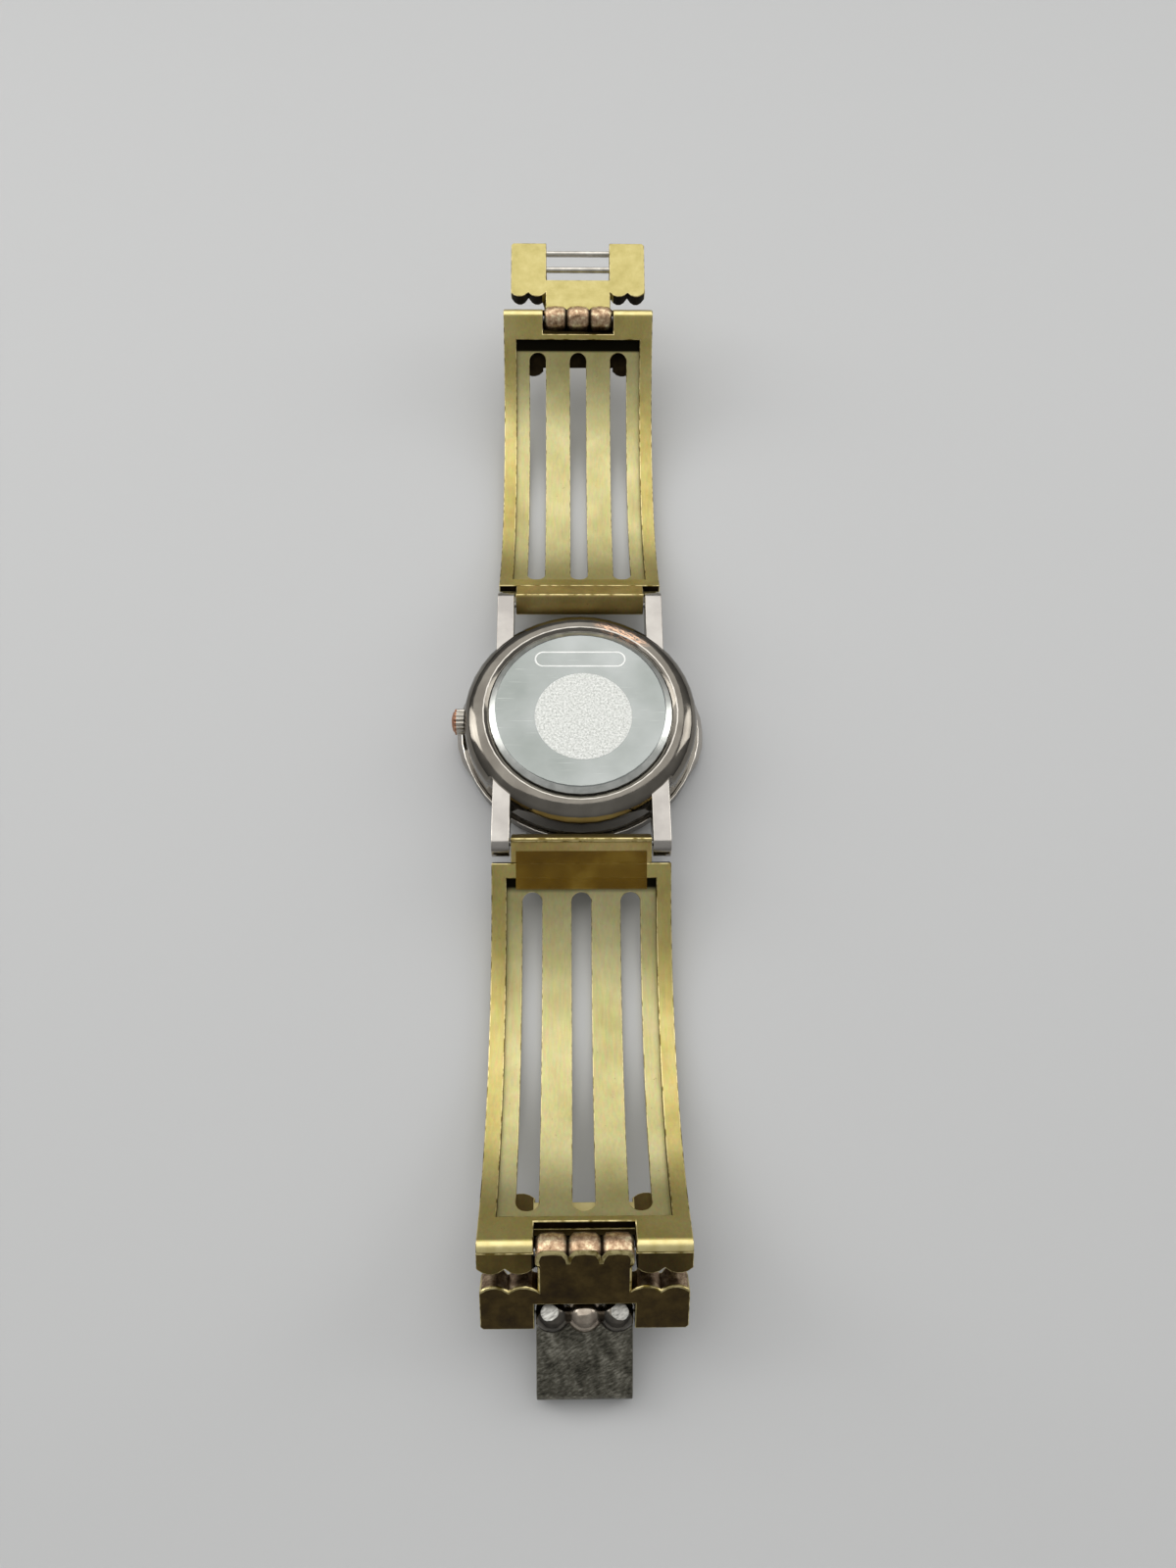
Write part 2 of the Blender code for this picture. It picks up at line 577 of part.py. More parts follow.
def build_movement(brass, steel, white, dark, copper, bright):
    """Dial, hands, movement, battery and coil."""
    dial_r = CASE_BORE_R - HOLDER_GAP
    profile = [(DIAL_HOLE_R, DIAL_Z + DIAL_T), (dial_r, DIAL_Z + DIAL_T), (dial_r, DIAL_Z), (DIAL_HOLE_R, DIAL_Z)]
    dial = piece("dial", turned(profile, RING, closed=True), white)
    marks = bmesh.new()
    for k in range(MARKER_COUNT):
        turn = 2 * math.pi * k / MARKER_COUNT
        made = bmesh.ops.create_cube(marks, size=1.0)["verts"]
        bmesh.ops.scale(marks, vec=(MARKER_W, MARKER_L, 2 * MARKER_H), verts=made)
        bmesh.ops.translate(marks, vec=(0.0, MARKER_R, DIAL_Z), verts=made)
        bmesh.ops.rotate(marks, cent=(0.0, 0.0, 0.0), matrix=Matrix.Rotation(turn, 3, "Z"), verts=made)
    mesh = bpy.data.meshes.new("markers")
    marks.to_mesh(mesh)
    marks.free()
    shape(dial, "UNION", mesh, "markers")

    levels = []
    for k, name in enumerate(("hour_hand", "minute_hand", "second_hand")):
        level = DIAL_Z - HAND_PITCH * (k + 1)
        levels.append(level)
        mesh = outline(hand_outline(k), HAND_T, PLAN, (0.0, 0.0, HAND_T / 2))
        mesh.transform(Matrix.Rotation(HAND_ANGLE[k], 4, "Z"))
        item = piece(name, mesh, bright, (0.0, 0.0, level))
        hole = rod(ARBOR_R[k] + RUN_FIT, -HAND_T, 2 * HAND_T, "Z")
        shape(item, "DIFFERENCE", hole, "hole")

    profile = [(0.0, MOVEMENT_TOP), (MOVEMENT_R, MOVEMENT_TOP), (MOVEMENT_R, MOVEMENT_Z)]
    above = MOVEMENT_Z
    for radius, level in zip(ARBOR_R, levels):
        profile += [(radius, above), (radius, level - SEAT_GAP)]
        above = level - SEAT_GAP
    profile.append((0.0, above))
    plate = piece("movement_plate", turned(profile, RING), brass)
    cell_z = MOVEMENT_TOP - CELL_T
    pocket = rod(CELL_R + HOLDER_GAP, cell_z - SEAT_GAP, MOVEMENT_TOP + SIDE_GAP, "Z", (CELL_X, CELL_Y, 0.0), RING)
    shape(plate, "DIFFERENCE", pocket, "cell_pocket")
    depth = 2 * COIL_FLANGE_R
    size = (COIL_L + 2 * HOLDER_GAP, depth + 2 * HOLDER_GAP, depth + SIDE_GAP)
    trough = block(size, (COIL_X, COIL_Y, MOVEMENT_TOP - depth / 2 + SIDE_GAP / 2 - SEAT_GAP))
    shape(plate, "DIFFERENCE", trough, "coil_trough")
    slide = LEVER_L + CROWN_PULL + 2 * HOLDER_GAP
    centre = -LEVER_X - CROWN_PULL / 2
    top = MOVEMENT_TOP + SIDE_GAP
    foot = STEM_Z - LEVER_H / 2 - SEAT_GAP
    room = block((slide, LEVER_W + 2 * HOLDER_GAP, top - foot), (centre, 0.0, (top + foot) / 2))
    shape(plate, "DIFFERENCE", room, "lever_room")
    path = rod(STEM_R + RUN_FIT, -MOVEMENT_R - SIDE_GAP, -STEM_INNER_X + HOLDER_GAP, "X", (0.0, 0.0, STEM_Z), COARSE)
    shape(plate, "DIFFERENCE", path, "stem_path")
    screw_x = CELL_X - CLAMP_REACH
    thread = rod(SCREW_R + SEAT_GAP, MOVEMENT_TOP - SCREW_L - SEAT_GAP, top, "Z", (screw_x, CELL_Y, 0.0), COARSE)
    shape(plate, "DIFFERENCE", thread, "screw_hole")

    holder_in = MOVEMENT_R + HOLDER_GAP
    holder_top = MOVEMENT_TOP + HOLDER_TOP
    profile = [(holder_in, holder_top), (dial_r, holder_top), (dial_r, MOVEMENT_Z), (holder_in, MOVEMENT_Z)]
    holder = piece("movement_ring", turned(profile, RING, closed=True), white)
    path = rod(STEM_R + TUBE_WALL, -CASE_BORE_R, -holder_in + SIDE_GAP, "X", (0.0, 0.0, STEM_Z))
    shape(holder, "DIFFERENCE", path, "stem_path")

    edge = CELL_T / 8
    profile = [(0.0, MOVEMENT_TOP), (CELL_R - edge, MOVEMENT_TOP), (CELL_R, MOVEMENT_TOP - edge)]
    profile += [(CELL_R, cell_z), (0.0, cell_z)]
    piece("battery", turned(profile, RING, offset=(CELL_X, CELL_Y, 0.0)), steel)
    clamp_z = MOVEMENT_TOP + SEAT_GAP
    half = CLAMP_W / 2
    strap = [(screw_x - half, -half), (CELL_X + half, -half), (CELL_X + half, half), (screw_x - half, half)]
    mesh = outline([(x, y + CELL_Y) for x, y in strap], CLAMP_T, PLAN, (0.0, 0.0, clamp_z + CLAMP_T / 2))
    clamp = piece("battery_clamp", mesh, brass)
    hole = rod(SCREW_R + RUN_FIT, clamp_z - CLAMP_T, clamp_z + 2 * CLAMP_T, "Z", (screw_x, CELL_Y, 0.0), COARSE)
    shape(clamp, "DIFFERENCE", hole, "hole")
    head_z = clamp_z + CLAMP_T + SEAT_GAP
    profile = [(0.0, head_z + SCREW_HEAD_T), (SCREW_HEAD_R, head_z + SCREW_HEAD_T), (SCREW_HEAD_R, head_z)]
    profile += [(SCREW_R, head_z), (SCREW_R, MOVEMENT_TOP - SCREW_L), (0.0, MOVEMENT_TOP - SCREW_L)]
    screw = piece("clamp_screw", turned(profile, COARSE, offset=(screw_x, CELL_Y, 0.0)), steel)
    drive = block((3 * SCREW_HEAD_R, SCREW_R / 2, SCREW_HEAD_T), (screw_x, CELL_Y, head_z + SCREW_HEAD_T))
    shape(screw, "DIFFERENCE", drive, "drive_slot")
    half = COIL_L / 2
    profile = [(0.0, half), (COIL_FLANGE_R, half), (COIL_FLANGE_R, half - COIL_FLANGE_T), (COIL_R, half - COIL_FLANGE_T)]
    mirrored = [(radius, -height) for radius, height in profile][::-1]
    coil_z = MOVEMENT_TOP - COIL_FLANGE_R
    piece("coil", turned(profile + mirrored, COARSE, "X", offset=(COIL_X, COIL_Y, coil_z)), copper)


def build_crown(metal, steel, copper, brass):
    """Crown, cap, stem, tube and the lever that lets the stem slide."""
    tube_r = STEM_R + RUN_FIT + TUBE_WALL
    tube_end = -CASE_R - TUBE_PROUD
    profile = [(STEM_R + RUN_FIT, -CASE_BORE_R - SEAT_GAP), (tube_r, -CASE_BORE_R - SEAT_GAP)]
    profile += [(tube_r, tube_end), (STEM_R + RUN_FIT, tube_end)]
    piece("crown_tube", turned(profile, COARSE, "X", True, (0.0, 0.0, STEM_Z)), brass)

    axis = (-LEVER_X, 0.0, STEM_Z)
    lever = piece("setting_lever", block((LEVER_L, LEVER_W, LEVER_H), (0.0, 0.0, 0.0)), steel, axis)
    hole = rod(STEM_R + RUN_FIT, -LEVER_L, LEVER_L, "X", steps=COARSE)
    shape(lever, "DIFFERENCE", hole, "hole")

    crown_in = -CASE_R + CROWN_SINK - CROWN_GAP + LEVER_X
    crown_out = crown_in - CROWN_L
    teeth = []
    for k in range(4 * CROWN_TEETH):
        turn = 2 * math.pi * (k + 0.5) / (4 * CROWN_TEETH)
        radius = CROWN_R - (CROWN_TOOTH if k % 4 >= 2 else 0.0)
        teeth.append((radius * math.cos(turn), radius * math.sin(turn)))
    core_r = CROWN_R - CROWN_TOOTH - SEAT_GAP
    core = [(0.0, crown_in), (core_r - CROWN_EDGE, crown_in), (core_r, crown_in - CROWN_EDGE)]
    core += [(core_r, crown_out + CROWN_EDGE), (core_r - CROWN_EDGE, crown_out), (0.0, crown_out)]
    crown = piece("crown", turned(core, FINE, "X"), metal, axis)
    grip_ring = outline(teeth, CROWN_L - 2 * CROWN_EDGE, SIDE, ((crown_in + crown_out) / 2, 0.0, 0.0))
    shape(crown, "UNION", grip_ring, "teeth")
    hollow = rod(tube_r + SIDE_GAP, crown_in - CROWN_SKIRT, crown_in + CROWN_L, "X")
    shape(crown, "DIFFERENCE", hollow, "skirt")
    grip = rod(STEM_R + SEAT_GAP, crown_in - STEM_GRIP, crown_in, "X", steps=COARSE)
    shape(crown, "DIFFERENCE", grip, "stem_hole")
    seat = rod(CROWN_CAP_R + SEAT_GAP, crown_out - CROWN_L, crown_out + CROWN_CAP_T, "X")
    shape(crown, "DIFFERENCE", seat, "cap_seat")
    cap_in = crown_out + CROWN_CAP_T - SEAT_GAP
    cap = [(0.0, cap_in), (CROWN_CAP_R, cap_in), (CROWN_CAP_R, crown_out), (CROWN_CAP_R * 0.6, crown_out - CROWN_CAP_T / 2)]
    cap.append((0.0, crown_out - CROWN_CAP_T * 0.7))
    piece("crown_cap", turned(cap, COARSE, "X"), copper, axis)
    stem_end = crown_in - STEM_GRIP + SEAT_GAP
    piece("stem", rod(STEM_R, stem_end, LEVER_X - STEM_INNER_X, "X", steps=COARSE), steel, axis)


def build_spring_bar(end, steel):
    """A spring bar: a tube and two tips that slide in against a spring."""
    name = "upper" if end > 0 else "lower"
    half = LUG_GAP / 2 - SIDE_GAP
    floor = half - BAR_BORE_DEPTH
    profile = [(0.0, floor), (BAR_BORE_R, floor), (BAR_BORE_R, half), (BAR_TUBE_R, half)]
    mirrored = [(radius, -height) for radius, height in profile][::-1]
    place = (0.0, end * HINGE_Y, HINGE_Z)
    piece(name + "_spring_bar", turned(profile + mirrored, COARSE, "X"), steel, place)
    for hand in (1, -1):
        side = "right" if hand > 0 else "left"
        span = sorted((hand * (half - BAR_TIP_IN), hand * (LUG_GAP / 2 + BAR_TIP_OUT)))
        tip = rod(BAR_TIP_R, span[0], span[1], "X", steps=COARSE)
        piece(name + "_bar_tip_" + side, tip, steel, place)


def build_panel(brass, dull, steel):
    """The upper panel: frame sheet, slotted grille, lug bar, ribbed end block and hinge pin."""
    place = (0.0, HINGE_Y, HINGE_Z)
    deep = PANEL_T
    frame = piece("upper_frame", outline(arc_band(0.0, PANEL_L, 0.0, FRAME_T, LIP_R), PANEL_W, SIDE), brass, place)
    window = arc_band(WINDOW_START, WINDOW_END, -deep, 2 * deep)
    shape(frame, "DIFFERENCE", outline(window, PANEL_W - 2 * RAIL_W, SIDE), "window")
    notch = arc_band(NOTCH_S, PANEL_L + deep, -deep, 3 * deep)
    shape(frame, "DIFFERENCE", outline(notch, NOTCH_W, SIDE), "notch")

    top = FRAME_T + SEAT_GAP
    grille_end = NOTCH_S - SEAT_GAP
    sheet = arc_band(GRILLE_INSET, grille_end, top, top + GRILLE_T)
    grille = piece("upper_grille", outline(sheet, PANEL_W - 2 * GRILLE_INSET, SIDE), brass, place)
    for k in range(SLOT_COUNT):
        across = (k - (SLOT_COUNT - 1) / 2) * SLOT_PITCH
        straight = arc_band(SLOT_START + SLOT_W / 2, SLOT_END - SLOT_W / 2, -deep, 2 * deep)
        cutter = outline(straight, SLOT_W, SIDE, (across, 0.0, 0.0))
        shape(grille, "DIFFERENCE", cutter, "slot_%d" % k)
        for tag, along in (("near", SLOT_START + SLOT_W / 2), ("far", SLOT_END - SLOT_W / 2)):
            cap = rod(SLOT_W / 2 + SLOT_EASE, -2 * deep, 2 * deep, "Z", steps=FINE)
            cap.transform(Matrix.Rotation(along / ARC_R - PANEL_TILT, 4, "X"))
            y, z = arc_point(along, top)
            cap.transform(Matrix.Translation((across, y, z)))
            shape(grille, "DIFFERENCE", cap, "slot_%d_%s" % (k, tag))

    front = HINGE_REACH - SEAT_GAP
    foot = HINGE_DROP - LUG_BAR_T
    ridge = HINGE_DROP + LUG_BAR_RIDGE_H
    flat = [(front, HINGE_DROP), (-LUG_BAR_BACK + LUG_BAR_RIDGE_W, HINGE_DROP)]
    flat += [(-LUG_BAR_BACK + LUG_BAR_RIDGE_W * 0.7, ridge), (-LUG_BAR_BACK + LUG_BAR_RIDGE_W * 0.25, ridge)]
    flat += [(-LUG_BAR_BACK, HINGE_DROP - LUG_BAR_RIDGE_H), (-LUG_BAR_BACK, foot / 2)]
    for k in range(5):
        turn = math.pi + math.pi / 2 * k / 4
        flat.append((LUG_BAR_BACK * math.cos(turn), foot / 2 - foot / 2 * math.sin(turn)))
    flat += [(front - SIDE_GAP, foot), (front, foot / 2)]
    side = [tangent_point(along, up) for along, up in flat]
    bar = piece("upper_lug_bar", outline(side, LUG_GAP - 2 * SIDE_GAP, SIDE), dull, place)
    shape(bar, "DIFFERENCE", rod(BAR_TUBE_R + RUN_FIT, -LUG_GAP, LUG_GAP, "X"), "bore")

    bottom = BLOCK_TOP + BLOCK_T + RIB_DEPTH
    step = NOTCH_S
    thick = arc_band(step, PANEL_L, FRAME_T + SEAT_GAP, bottom + RIB_DEPTH)
    thin = arc_band(BLOCK_S - 2 * RIB_END, step, BLOCK_TOP, bottom + RIB_DEPTH)
    count = len(thin) // 2
    side = thin[:count] + thick + thin[count + 1:]
    end_block = piece("upper_end_block", outline(side, PANEL_W, SIDE), dull, place)
    middle_s = PANEL_L - BLOCK_L / 2
    lean = Matrix.Rotation(middle_s / ARC_R - PANEL_TILT, 4, "X")
    y, z = arc_point(middle_s, BLOCK_TOP)
    seat = Matrix.Translation((0.0, y, z)) @ lean
    section = outline(rib_section(bottom, -BLOCK_T, PANEL_W, NOTCH_W, True), 2 * BLOCK_L, SECTION)
    section.transform(seat)
    shape(end_block, "INTERSECT", section, "ribs")
    half = PANEL_W / 2 + SIDE_GAP
    inner = NOTCH_W / 2
    reach = BLOCK_L / 2
    plan = arm_ends(-half, half - inner, -reach) + [(-inner, BLOCK_MID_BACK - reach), (inner, BLOCK_MID_BACK - reach)]
    plan += arm_ends(inner, half - inner, -reach) + [(half, 2 * reach), (-half, 2 * reach)]
    ends = outline(plan, 4 * bottom, PLAN)
    ends.transform(seat)
    shape(end_block, "INTERSECT", ends, "arm_ends")
    notch = arc_band(NOTCH_S + SEAT_GAP, PANEL_L + deep, -deep, 3 * deep)
    shape(end_block, "DIFFERENCE", outline(notch, NOTCH_W - 2 * SEAT_GAP, SIDE), "notch")
    pin_y, pin_z = arc_point(PIN_S, PIN_DEPTH)
    bite = inner + PIN_BITE
    bore = rod(PIN_R + RUN_FIT, -bite - RUN_FIT, bite + RUN_FIT, "X", (0.0, pin_y, pin_z))
    shape(end_block, "DIFFERENCE", bore, "pin_bore")
    pin = rod(PIN_R, -bite, bite, "X", (0.0, pin_y, pin_z))
    piece("upper_hinge_pin", pin, steel, place)


def link_body(name, plan, width, notch, top, web, tilt, place, turn_z, metal):
    """A ribbed link with its knuckle on the hinge pin."""
    section = outline(rib_section(top, top - web, width, notch, False), 4 * PANEL_W, SECTION)
    link = piece(name, section, metal, place, (tilt, 0.0, turn_z))
    shape(link, "INTERSECT", outline(plan, 4 * web + 4 * RIB_DEPTH, PLAN), "plan")
    shape(link, "UNION", knuckle(KNUCKLE_R, KNUCKLE_W, KNUCKLE_WAIST), "knuckle")
    shape(link, "DIFFERENCE", rod(PIN_R + RUN_FIT, -NOTCH_W, NOTCH_W, "X"), "pin_bore")
    return link


def build_links(brass, copper, steel, grey):
    """Catch link with its two pins, hook link, hook pin and hook."""
    pin_y, pin_z = arc_point(PIN_S, PIN_DEPTH)
    place = (0.0, HINGE_Y + pin_y, HINGE_Z + pin_z)
    plan = link_plan(CATCH_LINK_L, CATCH_LINK_W, CATCH_NOTCH_W, CATCH_NOTCH_U)
    link = link_body("catch_link", plan, CATCH_LINK_W, CATCH_NOTCH_W, CATCH_LINK_TOP, CATCH_LINK_WEB, CATCH_TILT,
                     place, 0.0, brass)
    bite = CATCH_NOTCH_W / 2 + CATCH_PIN_BITE
    for name, along in zip(("catch_pin_inner", "catch_pin_outer"), CATCH_PIN_U):
        offset = (0.0, along, CATCH_PIN_N)
        bore = rod(CATCH_PIN_R + SEAT_GAP, -bite - SEAT_GAP, bite + SEAT_GAP, "X", offset)
        shape(link, "DIFFERENCE", bore, name)
        piece(name, rod(CATCH_PIN_R, -bite, bite, "X", offset), steel, place, (CATCH_TILT, 0.0, 0.0))

    place = (0.0, -HINGE_Y - pin_y, HINGE_Z + pin_z)
    plan = link_plan(HOOK_LINK_L, HOOK_LINK_W, NOTCH_W, HOOK_NOTCH_U)
    link = link_body("hook_link", plan, HOOK_LINK_W, NOTCH_W, HOOK_LINK_TOP, HOOK_LINK_WEB, HOOK_LINK_TILT,
                     place, math.pi, copper)
    planed = block((NOTCH_W, 2 * HOOK_NOTCH_U, KNUCKLE_R), (0.0, 0.0, HOOK_LINK_TOP + SIDE_GAP / 10 + KNUCKLE_R / 2))
    shape(link, "DIFFERENCE", planed, "planed")
    bite = NOTCH_W / 2 + CATCH_PIN_BITE
    offset = (0.0, HOOK_PIN_U, HOOK_PIN_N)
    bore = rod(CATCH_PIN_R + SEAT_GAP, -bite - SEAT_GAP, bite + SEAT_GAP, "X", offset)
    shape(link, "DIFFERENCE", bore, "hook_pin")
    lean = Matrix.Rotation(math.pi, 4, "Z") @ Matrix.Rotation(HOOK_LINK_TILT, 4, "X")
    spot = Matrix.Translation(place) @ lean @ Matrix.Translation(offset)
    hook_place = spot.to_translation()
    piece("hook_pin", rod(CATCH_PIN_R, -bite, bite, "X", offset), steel, place, (HOOK_LINK_TILT, 0.0, math.pi))

    low = HOOK_TOP - HOOK_T
    mid = low - HOOK_BEND_R
    outer = HOOK_BEND_R + HOOK_T
    drop = (hook_place.z - outer - SEAT_GAP) / math.hypot(HOOK_BEND_V, mid)
    tilt = -math.asin(min(1.0, drop)) - math.atan2(mid, HOOK_BEND_V)
    side = [(0.0, low), (0.0, HOOK_TOP)]
    for k in range(9):
        turn = math.pi / 2 - math.pi * k / 8
        side.append((HOOK_BEND_V + outer * math.cos(turn), mid + outer * math.sin(turn)))
    side += [(HOOK_BEND_V - HOOK_LIP, mid - outer), (HOOK_BEND_V - HOOK_LIP - HOOK_T / 4, mid - outer + HOOK_T / 2)]
    side.append((HOOK_BEND_V - HOOK_LIP, mid - HOOK_BEND_R))
    for k in range(7):
        turn = -math.pi / 2 + math.pi * k / 6
        side.append((HOOK_BEND_V + HOOK_BEND_R * math.cos(turn), mid + HOOK_BEND_R * math.sin(turn)))
    plate = outline(side, KNUCKLE_W, SIDE)
    hook = piece("hook", plate, grey, hook_place, (tilt, 0.0, math.pi))
    shape(hook, "UNION", knuckle(HOOK_KNUCKLE_R, KNUCKLE_W, HOOK_WAIST), "knuckle")
    shape(hook, "DIFFERENCE", rod(CATCH_PIN_R + RUN_FIT, -NOTCH_W, NOTCH_W, "X"), "bore")


def merge_flats():
    """Merge the flat facets that cuts leave behind."""
    for item in parts.objects:
        kinds = [step.type for step in item.modifiers]
        if "BOOLEAN" in kinds and "DECIMATE" not in kinds:
            step = item.modifiers.new("flats", "DECIMATE")
            step.decimate_type = "DISSOLVE"
            step.angle_limit = FLAT_ANGLE


def main():
    """Build the watch head, the panels and the clasp."""
    clear_scene()
    gunmetal = finish((0.16, 0.16, 0.17), 0.25, 1.0, "gunmetal")
    polished = finish((0.62, 0.61, 0.60), 0.15, 1.0, "polished_steel")
    glass = finish((0.85, 0.88, 0.90), 0.05, 0.0, "crystal")
    rubber = finish((0.02, 0.02, 0.02), 0.7, 0.0, "seal")
    brass = finish((0.42, 0.33, 0.16), 0.45, 1.0, "aged_brass")
    dull = finish((0.30, 0.21, 0.11), 0.5, 1.0, "dull_brass")
    copper = finish((0.28, 0.15, 0.09), 0.5, 1.0, "copper")
    white = finish((0.75, 0.73, 0.68), 0.5, 0.0, "dial_white")
    grey = finish((0.24, 0.23, 0.22), 0.45, 1.0, "filed_grey")
    build_case(gunmetal, polished, glass, rubber)
    build_movement(brass, polished, white, rubber, copper, polished)
    build_crown(gunmetal, polished, copper, brass)
    build_spring_bar(1, polished)
    build_spring_bar(-1, polished)
    build_panel(brass, dull, polished)
    merge_flats()
    below = (0.0, -HINGE_Y, HINGE_Z)
    half_turn = (0.0, 0.0, math.pi)
    for name, metal in (("frame", brass), ("grille", brass), ("lug_bar", dull), ("end_block", dull), ("hinge_pin", polished)):
        copy_of(bpy.data.objects["upper_" + name], "lower_" + name, metal, below, half_turn)
    build_links(brass, copper, polished, grey)
    merge_flats()


main()
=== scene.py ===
"""A wristwatch lying face down on its open slotted brass bracelet: finishes, small pieces, light and camera."""
import json
import math

import bmesh
import bpy
from mathutils import Matrix, Vector


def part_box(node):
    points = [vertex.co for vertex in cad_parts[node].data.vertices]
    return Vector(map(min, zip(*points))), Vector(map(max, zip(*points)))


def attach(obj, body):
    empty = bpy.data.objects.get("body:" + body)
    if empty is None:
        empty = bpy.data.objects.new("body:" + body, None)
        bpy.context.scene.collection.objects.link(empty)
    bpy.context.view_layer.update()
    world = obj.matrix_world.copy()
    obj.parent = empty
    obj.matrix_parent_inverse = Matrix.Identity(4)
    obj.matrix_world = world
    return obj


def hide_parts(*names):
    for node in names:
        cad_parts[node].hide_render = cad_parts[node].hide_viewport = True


MM = 0.001

# The camera, found by matching the built shape to the photograph
PHOTO_LONG_SIDE = 1600
FOCAL_PIXELS = 1147.9
CAMERA_PLACE = (-1.67 * MM, -77.24 * MM, 153.35 * MM)
CAMERA_TILT = math.radians(24.459)
CAMERA_YAW = math.radians(-2.316)
CAMERA_ROLL = math.radians(1.974)
SENSOR_MM = 36.0
NEAR_CLIP = 1.0 * MM

# The studio: one large soft box behind the watch, a low strip on each side, a pale room and floor
SOFT_BOX_SIZE = (1.25, 0.95)
SOFT_BOX_PLACE = (-0.10, 0.36, 0.66)
SOFT_BOX_WATTS = 4.4
SOFT_BOX_SPREAD = math.radians(180.0)
STRIP_SIZE = (0.20, 0.42)
STRIP_PLACES = ((-0.52, 0.20, 0.28), (0.52, 0.20, 0.28))
STRIP_WATTS = (0.172, 0.140)
STRIP_SPREAD = math.radians(70.0)
ROOM_COLOUR = "#d2d3d4"
ROOM_LOW = 0.24
ROOM_HIGH = 0.66
ROOM_RISE = 0.6
FLOOR_COLOUR = "#c8c8c7"
FLOOR_ROUGH = 0.9
FLOOR_SHEEN = 0.1
FLOOR_SIZE = 3.0
FLOOR_DROP = 0.02 * MM

# Dressing the CAD pieces
WELD = 0.002 * MM
SLIVER = 0.004 * MM
SHORT_EDGE = 0.09 * MM
FLAT_ANGLE = math.radians(0.4)
EDGE_ANGLE = math.radians(34.0)
SMOOTH_ANGLE = math.radians(32.0)
EDGE_SEGMENTS = 2
FINE_EDGE = 0.4

# Etched marks on the case back
FROST_R = 7.0 * MM
FROST_PLACE = (0.4 * MM, -1.2 * MM)
FROST_T = 0.03 * MM
FROST_RIM = 0.12 * MM
FROST_SINK = FROST_T / 4
PLAQUE_HALF_L = 6.7 * MM
PLAQUE_R = 1.3 * MM
PLAQUE_Y = 8.2 * MM
PLAQUE_LINE = 0.22 * MM
PLAQUE_T = 0.02 * MM
ROUND_STEPS = 96
PLAQUE_STEPS = 24

# The bare film across the lower panel beside the lugs, laid along the panel's curve, rippled and lifting at one corner
CURVE_R = 39.5 * MM
CURVE_CENTRE = (-42.361 * MM, 41.75 * MM)
CURVE_START = math.radians(-29.5)
FILM_W = 18.1 * MM
FILM_START = -1.7 * MM
FILM_END = 3.6 * MM
FILM_T = 0.07 * MM
FILM_LIFT = 0.08 * MM
FILM_CURL = 0.35 * MM
FILM_ACROSS = 30
FILM_ALONG = 10
RIPPLE_ACROSS = 31.0
RIPPLE_SLANT = 4.0
RIPPLE_ALONG = 9.0
RIPPLE_HEIGHT = FILM_LIFT / 4
CURL_FROM = (0.30, 0.35)
CURL_GAIN = 12.0

# The beads of the hook, with a facet filed on the two outer ones
BEAD_R = 2.0 * MM
BEAD_W = 3.783 * MM
BEAD_DROP = 0.95 * MM
BEAD_POWER = 2.2
BEAD_NECK = 0.5 * BEAD_R
BEAD_FOOT = 0.2 * BEAD_R
BEAD_CUTS = 3
FACET_DEPTH = 0.26 * MM
FACET_LEAN = (0.16, 0.14, 0.98)

# Where the finishes change on the bracelet: knuckles, with painted shade in their grooves, walls of windows and
# notches, painted with shade, rolled lips, painted with a highlight, and a painted shadow across one end of each grille
KNUCKLE_R = 2.1 * MM
ROUND_SLACK = 1.03
# Painted shade in the grooves between a knuckle's drums: where they lie across, and how far the darkening spreads
GROOVE_X = 1.967 * MM
GROOVE_SPREAD = (0.12 * MM, 0.55 * MM)
NOTCH_HALF = 6.1 * MM
NOTCH_Y = 69.2 * MM
LIP_Y = 60.0 * MM
WINDOW_HALF = 10.4 * MM
# Painted shadow on each grille: along Y, where it begins and where it reaches near black
UPPER_SHADE = (68.05 * MM, 68.3 * MM)
LOWER_SHADE = (-26.2 * MM, -25.4 * MM)

# How far a face's normal has to point along a direction to count as one of these
DRUM_END = 0.95
PLANED_FLAT = 0.985
ARM_END = 0.3
ARM_SKEW = 0.9
WALL_TILT = 0.3
LIP_LEAN = -0.3
LIP_RISE = 0.2
MIDDLE_RISE = 0.5

# Where the finishes change on the watch: lugs, side shoulders, case back rim, crown and dial
LUG_X = 9.9 * MM
LUG_Y = 13.5 * MM
WING_R = 17.7 * MM
WING_ROOT = 17.62 * MM
WING_ANGLE = math.radians(23.0)
WING_TAPER = math.radians(17.0)
RIM_R = 12.3 * MM
CAP_X = -18.2 * MM
DIAL_SHEET = 0.36 * MM

# Worn copper showing through the case plating, as a stroke on the ring
WORN_CENTRE = (6.2 * MM, 13.0 * MM, 0.0)
WORN_TURN = math.radians(-26.0)
WORN_HALF = (4.4 * MM, 1.1 * MM)

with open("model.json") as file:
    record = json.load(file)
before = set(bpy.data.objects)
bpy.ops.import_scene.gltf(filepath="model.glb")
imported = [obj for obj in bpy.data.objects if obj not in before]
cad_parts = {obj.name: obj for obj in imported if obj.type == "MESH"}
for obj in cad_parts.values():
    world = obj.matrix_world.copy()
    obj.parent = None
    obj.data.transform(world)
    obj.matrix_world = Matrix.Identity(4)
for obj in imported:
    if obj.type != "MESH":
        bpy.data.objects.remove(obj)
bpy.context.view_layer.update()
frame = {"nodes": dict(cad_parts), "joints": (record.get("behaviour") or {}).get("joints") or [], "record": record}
joints = {joint["name"]: joint for joint in frame["joints"]}
bodies = frame["record"]["behaviour"]["bodies"]
body_of = {node: body for body, nodes in bodies.items() for node in nodes}


